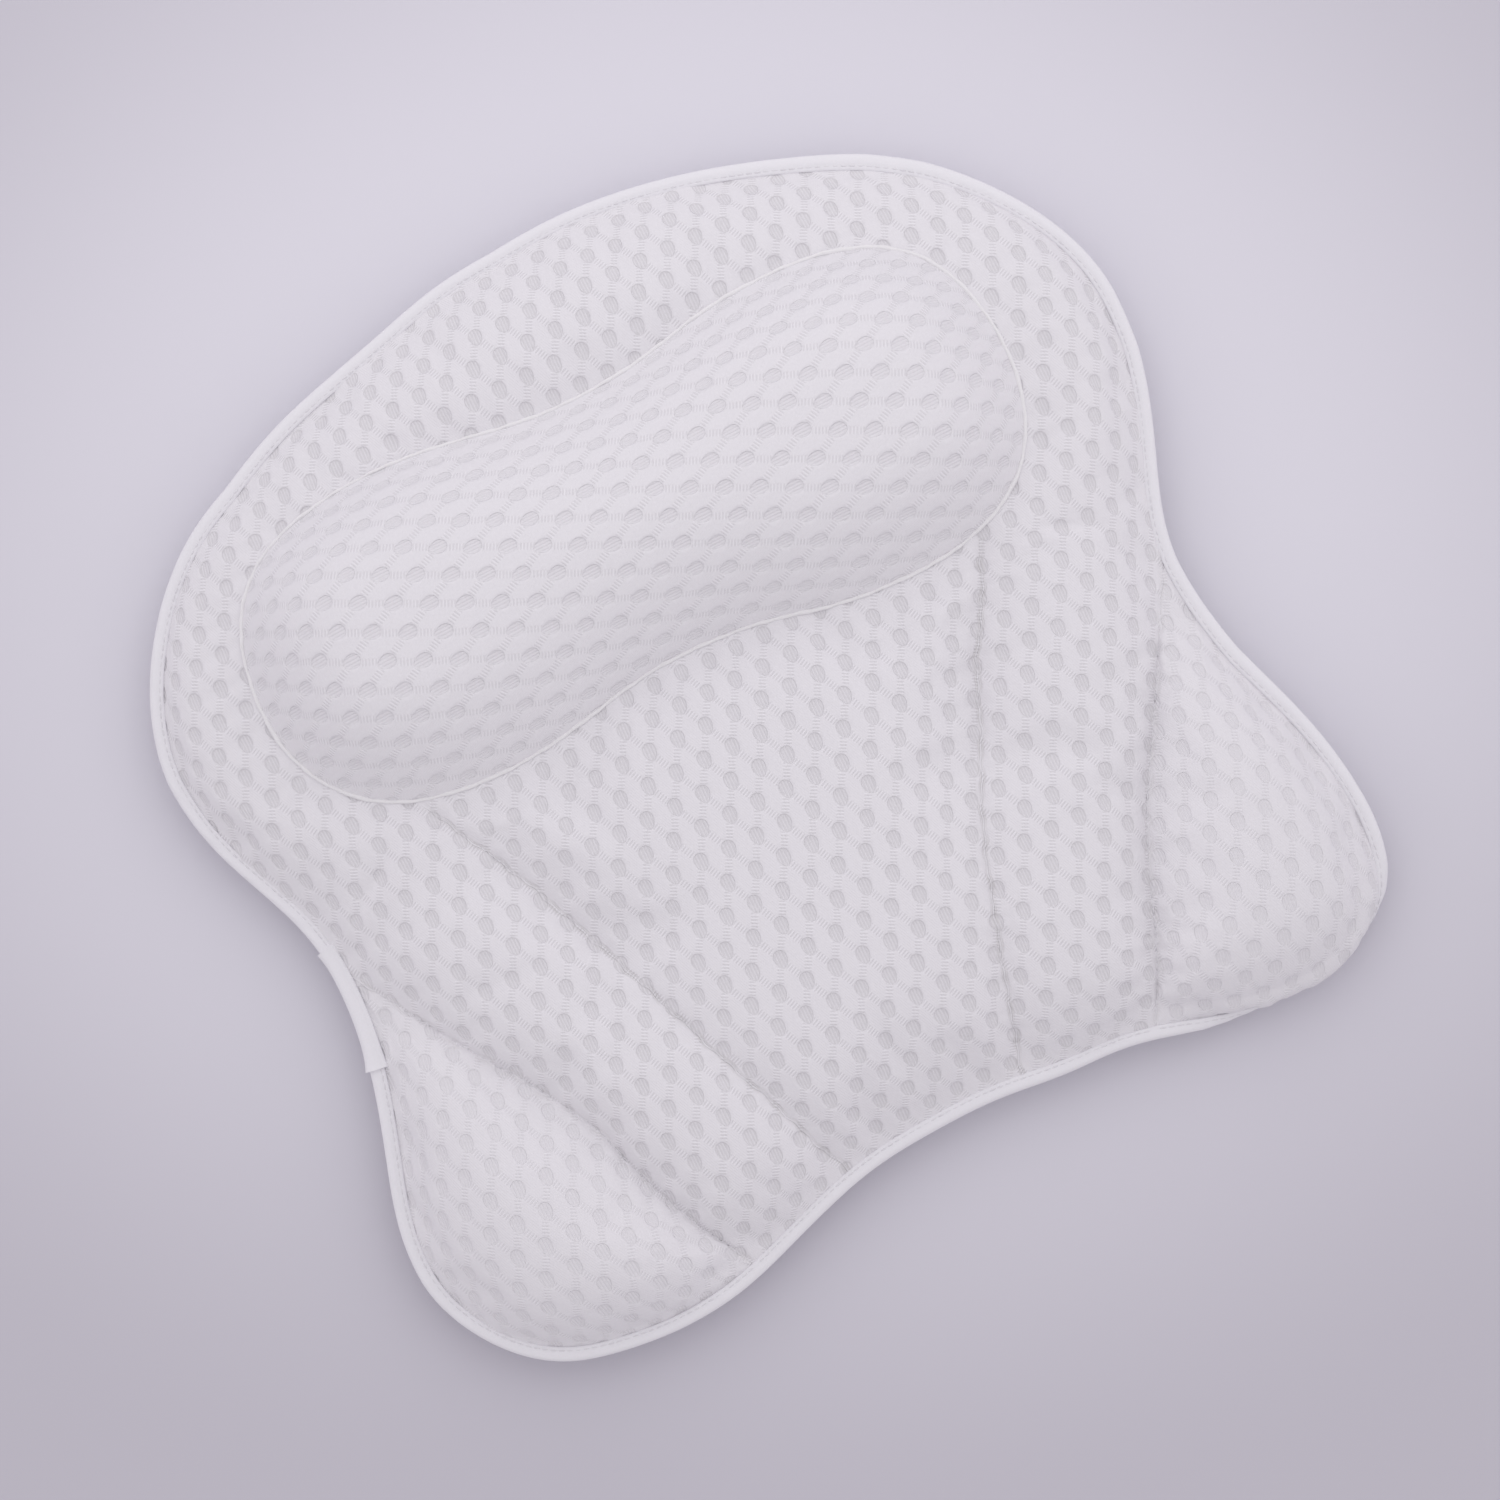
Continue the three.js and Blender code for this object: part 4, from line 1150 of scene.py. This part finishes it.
def back_panel(name, pattern, cups):
    """A cloth back with a hole at each eyelet."""
    plan = pattern.plan()
    heights = settle(back_height(plan), pattern.faces, edge_sewn(plan), PLAIN_ROUNDS)
    turned = [face[::-1] for face in pattern.faces]
    piece = mesh_piece(name, np.column_stack([plan, heights]), turned)
    flat = piece.data.uv_layers.new(name="cut").data
    corners = np.array([i for face in turned for i in face])
    flat.foreach_set("uv", plan[corners].ravel())
    refine(piece, 2)
    places = positions(piece)
    keep = np.ones(len(places), bool)
    for centre in cups:
        keep &= np.linalg.norm(places[:, :2] - centre, axis=1) > EYELET_HOLE
    moved = as_laid(places)
    apart = [np.linalg.norm(folded(places[:, :2]) - centre, axis=1) for centre in CUP_CENTRES.values()]
    near = np.exp(-((np.min(apart, axis=0) / CUP_REACH) ** 4))
    move_to(piece, moved + near[:, None] * (places - moved))
    knit_holes(piece, BACK_HOLES * open_cloth(places[:, :2]))
    only(piece)
    bpy.ops.object.mode_set(mode="EDIT")
    bpy.ops.mesh.select_mode(type="VERT")
    bpy.ops.mesh.select_all(action="DESELECT")
    bpy.ops.object.mode_set(mode="OBJECT")
    piece.data.vertices.foreach_set("select", ~keep)
    bpy.ops.object.mode_set(mode="EDIT")
    bpy.ops.mesh.delete(type="VERT")
    bpy.ops.object.mode_set(mode="OBJECT")
    dress(piece, BACK_MESH)
    return piece


def back_covers():
    middle = [np.array(CUP_CENTRES[word]) * (side, 1) for word in ("head", "centre") for side in (1, -1)]
    piece = back_panel("body_back", plain_pattern(), middle)
    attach(piece, "pillow")
    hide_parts("back_cover")
    for side in (1, -1):
        word = SIDE_WORDS[side]
        outer = [np.array(CUP_CENTRES["wing"]) * (side, 1)]
        piece = back_panel(word + "_wing_back", wing_pattern(side), outer)
        wing_bend(piece)
        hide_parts(word + "_wing_back_cover")


WADDING_GAP = 5.0
WADDING_LEAST = 0.2
BACK_GAP = 1.0


def wadding(name, pattern, top, back, node):
    """A closed cushion of fibre between two faces."""
    plan = pattern.plan()
    count = len(plan)
    upper = as_laid(np.column_stack([plan, np.maximum(top - WADDING_GAP, back + WADDING_LEAST)]))
    lower = as_laid(np.column_stack([plan, back]))
    faces = pattern.faces + [[i + count for i in face[::-1]] for face in pattern.faces]
    seen = {}
    for face in pattern.faces:
        for a, b in zip(face, face[1:] + face[:1]):
            seen[(a, b)] = True
    rim = [[b, a, a + count, b + count] for a, b in seen if (b, a) not in seen]
    piece = mesh_piece(name, np.vstack([upper, lower]), faces + rim)
    dress(piece, FIBRE)
    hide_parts(node)
    return piece


def fillings():
    pattern = plain_pattern()
    plan = pattern.plan()
    top = settle(top_height(plan), pattern.faces, body_sewn(plan), PLAIN_ROUNDS)
    back = back_height(plan) + BACK_GAP
    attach(wadding("body_wadding", pattern, top, back, "body_filling"), "pillow")
    pattern = bolster_pattern()
    plan = pattern.plan()
    top = settle(bolster_height(plan), pattern.faces, bolster_distance(plan) < SEWN, BOLSTER_ROUNDS)
    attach(wadding("bolster_wadding", pattern, top, top_height(plan), "bolster_filling"), "pillow")
    for side in (1, -1):
        word = SIDE_WORDS[side]
        pattern = wing_pattern(side)
        plan = pattern.plan()
        top = settle(top_height(plan), pattern.faces, edge_sewn(plan), TOP_ROUNDS)
        back = back_height(plan) + BACK_GAP
        piece = wadding(word + "_wing_wadding", pattern, top, back, word + "_wing_filling")
        wing_bend(piece)


# The folded tape's outside and inside: distance in from the edge, and height from the seam.
TAPE_TOP = [
    (5.2, 1.25), (5.75, 1.5), (5.5, 1.95), (4.7, 2.25), (4.2, 2.2),
    (3.7, 2.45), (2.7, 2.6), (1.5, 2.4), (0.6, 1.75), (0.1, 0.8),
]
TAPE_UNDER = [(inset, -height) for inset, height in TAPE_TOP[::-1]]
TAPE_SLOT = [(3.2, -1.0), (2.6, 0), (3.2, 1.0)]
TAPE_SECTION = np.array(TAPE_TOP + TAPE_UNDER + TAPE_SLOT)
TAPE_STEP = 2.5
TAPE_EVEN = 12.0
TAPE_WOBBLE = 0.07
HEAD_STEPS = 150
FOOT_STEPS = 36
WING_STEPS = 120


def sweep(rows, closed_section, closed_run):
    """Points and faces of a strip made from rows of section points."""
    count = len(rows[0])
    points = np.vstack(rows)
    faces = []
    for i in range(len(rows) if closed_run else len(rows) - 1):
        here = i * count
        ahead = (i + 1) % len(rows) * count
        for j in range(count if closed_section else count - 1):
            k = (j + 1) % count
            faces.append([here + j, here + k, ahead + k, ahead + j])
    return points, faces


def edge_run(inset, kind, steps):
    """Points on the bound edge, at an inset: right wing's run, right half of the head or of the foot."""
    rail = Rail(inset_line(EDGE, inset))
    upper, lower = fold_walks(rail)
    if kind == "wing":
        return rail.between(upper, lower).shares(steps)
    if kind == "head":
        half = rail.between(0, upper).shares(steps)
        return np.vstack([mirrored(half)[:0:-1], half])
    half = rail.between(lower, rail.length).shares(steps)
    return np.vstack([half, mirrored(half)[-2::-1]])


def tape_rows(kind, side, steps):
    """Section rows of a run of the binding."""
    rails = []
    for inset, height in TAPE_SECTION:
        run = edge_run(inset, kind, steps) * (side, 1)
        rails.append(np.column_stack([run, np.full(len(run), height)]))
    rows = np.stack(rails, axis=1)
    walk = np.arange(len(rows)) * TAPE_STEP
    inner = np.clip(np.minimum(walk, walk[-1] - walk) / TAPE_EVEN, 0, 1)
    rows[:, :, 2] *= 1 + TAPE_WOBBLE * (inner * wobble(walk, len(kind)))[:, None]
    rows[:, :, 2] += SEAM_Z
    return rows if side > 0 else rows[:, ::-1]


LAP_START = -7.0
LAP_LENGTH = 51.0
LAP_GROWTH = 0.17
LAP_MIDDLE = 2.9
LAP_STEPS = 30


def lap_rows():
    """Section rows of the tape's end, lapped over its start at the left waist and loose at both ends."""
    rail = Rail(inset_line(EDGE, LAP_MIDDLE))
    start = fold_walks(rail)[0] + LAP_START
    run = rail.between(start, start + LAP_LENGTH).shares(LAP_STEPS)
    walk = np.linspace(0, 1, LAP_STEPS + 1)
    size = 1 + LAP_GROWTH * (1 + 2.2 * walk**10 + 1.4 * (1 - walk) ** 10)
    rails = []
    for inset, height in TAPE_SECTION:
        line = inset_line(run, ((inset - LAP_MIDDLE) * size)[:, None])
        rails.append(np.column_stack([mirrored(line), SEAM_Z + height * size]))
    return np.stack(rails, axis=1)[:, ::-1]


def cut_tape(rows):
    """Points and faces of a short length of tape with both its cut ends."""
    points, faces = sweep(list(rows), True, False)
    count = rows.shape[1]
    ends = [list(range(len(points), len(points) + count))[::-1]]
    ends.append(list(range(len(points) + count, len(points) + 2 * count)))
    return np.vstack([points, rows[0], rows[-1]]), faces + ends


def binding(name, kind, side, steps):
    """A run of tape, open at both ends because the next run goes on from there."""
    points, faces = sweep(list(tape_rows(kind, side, steps)), True, False)
    if kind == "wing" and side < 0:
        more, extra = cut_tape(lap_rows())
        faces = faces + [[i + len(points) for i in face] for face in extra]
        points = np.vstack([points, more])
    piece = mesh_piece(name, as_laid(points), faces)
    dress(piece, TAPE)
    return piece


TAPE_STITCH_INSET = 4.3
TAPE_STITCH_RISE = 2.15

# Pitch, length and radius of a stitch, and its rings: share of its length, and share of its radius.
TAPE_STITCH = (3.2, 2.4, 0.3)
SEAM_STITCH = (3.4, 2.6, 0.3)
STITCH_RINGS = ((0, 0.35), (0.2, 0.9), (0.5, 1), (0.8, 0.9), (1, 0.35))
STITCH_SIDES = 6


def tape_stitches(name, kind, side, steps):
    line = edge_run(TAPE_STITCH_INSET, kind, steps) * (side, 1)
    return stitches(name, line, np.full(len(line), SEAM_Z + TAPE_STITCH_RISE), *TAPE_STITCH)


def bindings():
    for kind in ("head", "foot"):
        piece = binding(kind + "_tape", kind, 1, HEAD_STEPS if kind == "head" else FOOT_STEPS)
        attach(piece, "pillow")
        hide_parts(kind + "_binding")
        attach(tape_stitches(kind + "_tape_stitches", kind, 1, HEAD_STEPS), "pillow")
    for side in (1, -1):
        word = SIDE_WORDS[side]
        piece = binding(word + "_wing_tape", "wing", side, WING_STEPS)
        wing_bend(piece)
        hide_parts(word + "_wing_binding")
        wing_bend(tape_stitches(word + "_wing_tape_stitches", "wing", side, WING_STEPS))


LIP_RADIUS = 0.8
LIP_OUT = 0.25
LIP_STEPS = 220
LIP_SIDES = 10


def ripple(turn, seed):
    """An uneven ripple round a closed seam, from about -1 to 1."""
    return sum(np.sin(count * turn + 1.7 * count + seed) for count in (17, 41, 97)) / 2


def bolster_lip():
    """The turned seam edge round the bolster, uneven as sewn."""
    half = BOLSTER_RAIL.shares(LIP_STEPS)
    loop = chain(half, mirrored(half)[::-1])[:-1]
    turn = np.linspace(0, 2 * np.pi, len(loop), endpoint=False)
    radius = LIP_RADIUS * (1 + 0.2 * ripple(turn, 0.4))
    heights = top_height(loop) + BOLSTER_LIFT + 0.12 * ripple(turn, 1.1)
    ahead = unit(np.roll(loop, -1, axis=0) - np.roll(loop, 1, axis=0))
    out = np.stack([-ahead[:, 1], ahead[:, 0]], axis=1)
    rows = []
    for angle in np.linspace(0, 2 * np.pi, LIP_SIDES, endpoint=False):
        away = LIP_OUT + 0.2 * ripple(turn, 2.3) + radius * math.cos(angle)
        rows.append(np.column_stack([loop + out * away[:, None], heights + radius * math.sin(angle)]))
    points, faces = sweep(list(np.stack(rows, axis=1)), True, True)
    piece = mesh_piece("bolster_lip", as_laid(points), faces)
    dress(piece, LIP)
    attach(piece, "pillow")
    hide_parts("bolster_welt")


def stitches(name, line, heights, pitch, length, radius):
    """A row of stitches along a line of the plan."""
    rail = Rail(line)
    points = []
    faces = []
    for start in np.arange(0.6 * pitch, rail.length - length, pitch):
        here = rail.at(start)
        there = rail.at(start + length)
        ahead = (there - here) / np.linalg.norm(there - here)
        across = np.array([ahead[1], -ahead[0]])
        base = len(points)
        for share, size in STITCH_RINGS:
            middle = here + share * (there - here)
            z = np.interp(start + share * length, rail.walked, heights)
            for angle in np.linspace(0, 2 * np.pi, STITCH_SIDES, endpoint=False):
                side = across * radius * size * math.cos(angle)
                points.append((*(middle + side), z + radius * size * (math.sin(angle) + 0.3 * size)))
        for ring in range(len(STITCH_RINGS) - 1):
            low = base + STITCH_SIDES * ring
            high = low + STITCH_SIDES
            for j in range(STITCH_SIDES):
                k = (j + 1) % STITCH_SIDES
                faces.append([low + j, low + k, high + k, high + j])
        faces.append([base + j for j in range(STITCH_SIDES)][::-1])
        faces.append([high + j for j in range(STITCH_SIDES)])
    piece = mesh_piece(name, as_laid(np.array(points)), faces)
    dress(piece, THREAD)
    return piece


def seam_stitches():
    """The sewing in the channel seams and the wing folds."""
    for side in (1, -1):
        word = SIDE_WORDS[side]
        fold = np.array(ruled(FOLD_UPPER, FOLD_LOWER, np.linspace(0.04, 0.96, 60)))
        heights = top_height(fold) - FOLD_CREASE
        piece = stitches(word + "_fold_stitches", fold * (side, 1), heights, *SEAM_STITCH)
        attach(piece, "pillow")
        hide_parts(word + "_fold_seam")
        channel = np.array(ruled(CHANNEL_UPPER, CHANNEL_LOWER, np.linspace(0.03, 0.95, 60)))
        heights = top_height(channel) - CHANNEL_CREASE
        piece = stitches(word + "_channel_stitches", channel * (side, 1), heights, *SEAM_STITCH)
        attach(piece, "pillow")


body_cover()
bolster_cover()
for wing_side in (1, -1):
    wing_cover(wing_side)
back_covers()
fillings()
bindings()
bolster_lip()
seam_stitches()

# Radius and height of the cup's skin, from the middle of its hollow round the rim to the top of its knob.
CUP_PROFILE = [
    (0, 6.2), (5.4, 5.9), (10.75, 4.84), (14.4, 3.6), (17.6, 2.2), (19.8, 0.9), (21.5, 0), (23.2, 0.0),
    (24.6, 0.15), (25, 0.6), (24.6, 1.2), (22, 3.1), (18.5, 5.7), (15, 7.6), (11.5, 8.9), (8.8, 9.9),
    (6.5, 10.4), (4.9, 10.7), (4.7, 11.2), (4.7, 16.1), (5.2, 16.5), (6.8, 16.6), (7.2, 17.2), (6.5, 18.7),
    (5.2, 19.8), (3.6, 20.4), (1.6, 20.5), (0, 20.5),
]
CUP_STEPS = 64


def suction_cup(name, centre):
    """A moulded cup with its neck and knob, turned on its own axis."""
    profile = [(centre[0] + radius, centre[1], height) for radius, height in CUP_PROFILE]
    edges = [(i, i + 1) for i in range(len(profile) - 1)]
    piece = mesh_piece(name, profile, [], edges)
    only(piece)
    bpy.ops.object.mode_set(mode="EDIT")
    bpy.ops.mesh.select_all(action="SELECT")
    axis_at = (centre[0] * MM, centre[1] * MM, 0)
    bpy.ops.mesh.spin(steps=CUP_STEPS, angle=2 * math.pi, center=axis_at, axis=(0, 0, 1))
    bpy.ops.mesh.select_all(action="SELECT")
    bpy.ops.mesh.remove_doubles(threshold=0.001 * MM)
    bpy.ops.mesh.normals_make_consistent(inside=False)
    bpy.ops.object.mode_set(mode="OBJECT")
    piece.data.shade_smooth()
    dress(piece, VINYL)
    return piece


for cup_word, cup_place in CUP_CENTRES.items():
    for cup_side in (1, -1):
        cup_name = SIDE_WORDS[cup_side] + "_" + cup_word
        cup = suction_cup(cup_name + "_moulded_cup", np.array(cup_place) * (cup_side, 1))
        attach(cup, cup_name + "_cup")
        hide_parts(cup_name + "_suction_cup")

for node_name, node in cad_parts.items():
    if "eyelet" in node_name or "washer" in node_name:
        node.data.materials.clear()
        node.data.materials.append(PLASTIC)


CAMERA_ROLL = 27.15
RIGHT_WAY = (math.cos(math.radians(CAMERA_ROLL)), -math.sin(math.radians(CAMERA_ROLL)))
UP_WAY = (math.sin(math.radians(CAMERA_ROLL)), math.cos(math.radians(CAMERA_ROLL)))
# Painted light on the table: the middle of its lighter pool and how far it reaches, in metres along the
# camera's right and up ways.
PAINTED_LIGHT_MIDDLE = (0.0, 0.052)
PAINTED_LIGHT_REACH = (0.42, 0.34)
TABLE_SIZE = 40
TABLE_Z = -0.0002
# The table's painted light colour in the middle, and its painted shade colour further out.
TABLE_PAINTED_LIGHT = (0.78, 0.765, 0.83)
TABLE_PAINTED_SHADE = (0.585, 0.565, 0.625)


def table_top():
    bpy.ops.object.select_all(action="DESELECT")
    bpy.ops.mesh.primitive_plane_add(size=TABLE_SIZE, location=(0, 0, TABLE_Z))
    floor = bpy.context.object
    floor.name = "table_top"
    floor.data.materials.append(table_with_painted_light("painted_light_table", TABLE_PAINTED_LIGHT, TABLE_PAINTED_SHADE))


def soft_lamp(name, place, size, power):
    """A square lamp that faces the pillow."""
    data = bpy.data.lights.new(name, "AREA")
    data.size = size
    data.energy = power
    lamp = bpy.data.objects.new(name, data)
    bpy.context.scene.collection.objects.link(lamp)
    lamp.location = place
    lamp.rotation_euler = (-Vector(place)).to_track_quat("-Z", "Y").to_euler()


# The room's light from the sides and from above, what the picture's two ends add, and what its front takes.
SIDE_LIGHT = 0.84
TOP_LIGHT = 0.52
WING_LIGHT = 0.42
FRONT_SHADE = 0.12
ROOM_COLOUR = (0.985, 0.953, 1.0, 1)


def soft_room():
    """Soft light from all round: strongest from both sides of the picture, weakest from below it."""
    world = bpy.data.worlds.new("studio")
    bpy.context.scene.world = world
    world.use_nodes = True
    tree = world.node_tree
    paper = Wire(tree)
    x, y, upward = paper.make("ShaderNodeTexCoord", {}, {}, 0).axes()
    aside = x * RIGHT_WAY[0] + y * RIGHT_WAY[1]
    front = paper.math("MAXIMUM", x * -UP_WAY[0] + y * -UP_WAY[1], 0.0)
    strength = SIDE_LIGHT + (TOP_LIGHT - SIDE_LIGHT) * paper.math("MAXIMUM", upward, 0.0)
    strength = strength + WING_LIGHT * aside * aside - FRONT_SHADE * front
    strength.into(tree.nodes["Background"], "Strength")
    finish(tree.nodes["Background"], {"Color": ROOM_COLOUR})


VIEW_CENTRE = (-0.9, -14.65)
CAMERA_HEIGHT = 1.1
FRAME_WIDTH = 0.570
SENSOR_WIDTH = 36


def overhead_camera():
    data = bpy.data.cameras.new("overhead")
    data.sensor_width = SENSOR_WIDTH
    data.lens = SENSOR_WIDTH * CAMERA_HEIGHT / FRAME_WIDTH
    camera = bpy.data.objects.new("overhead", data)
    bpy.context.scene.collection.objects.link(camera)
    camera.location = (VIEW_CENTRE[0] * MM, VIEW_CENTRE[1] * MM, SEAM_Z * MM + CAMERA_HEIGHT)
    camera.rotation_euler = (0, 0, math.radians(-CAMERA_ROLL))
    bpy.context.scene.camera = camera


table_top()
soft_lamp("window", (0.26, 0.507, 0.71), 1.0, 1.65)
soft_lamp("ceiling", (0.03, 0.06, 0.8), 0.7, 0.65)
soft_room()
overhead_camera()
bpy.context.scene.view_settings.view_transform = "Standard"
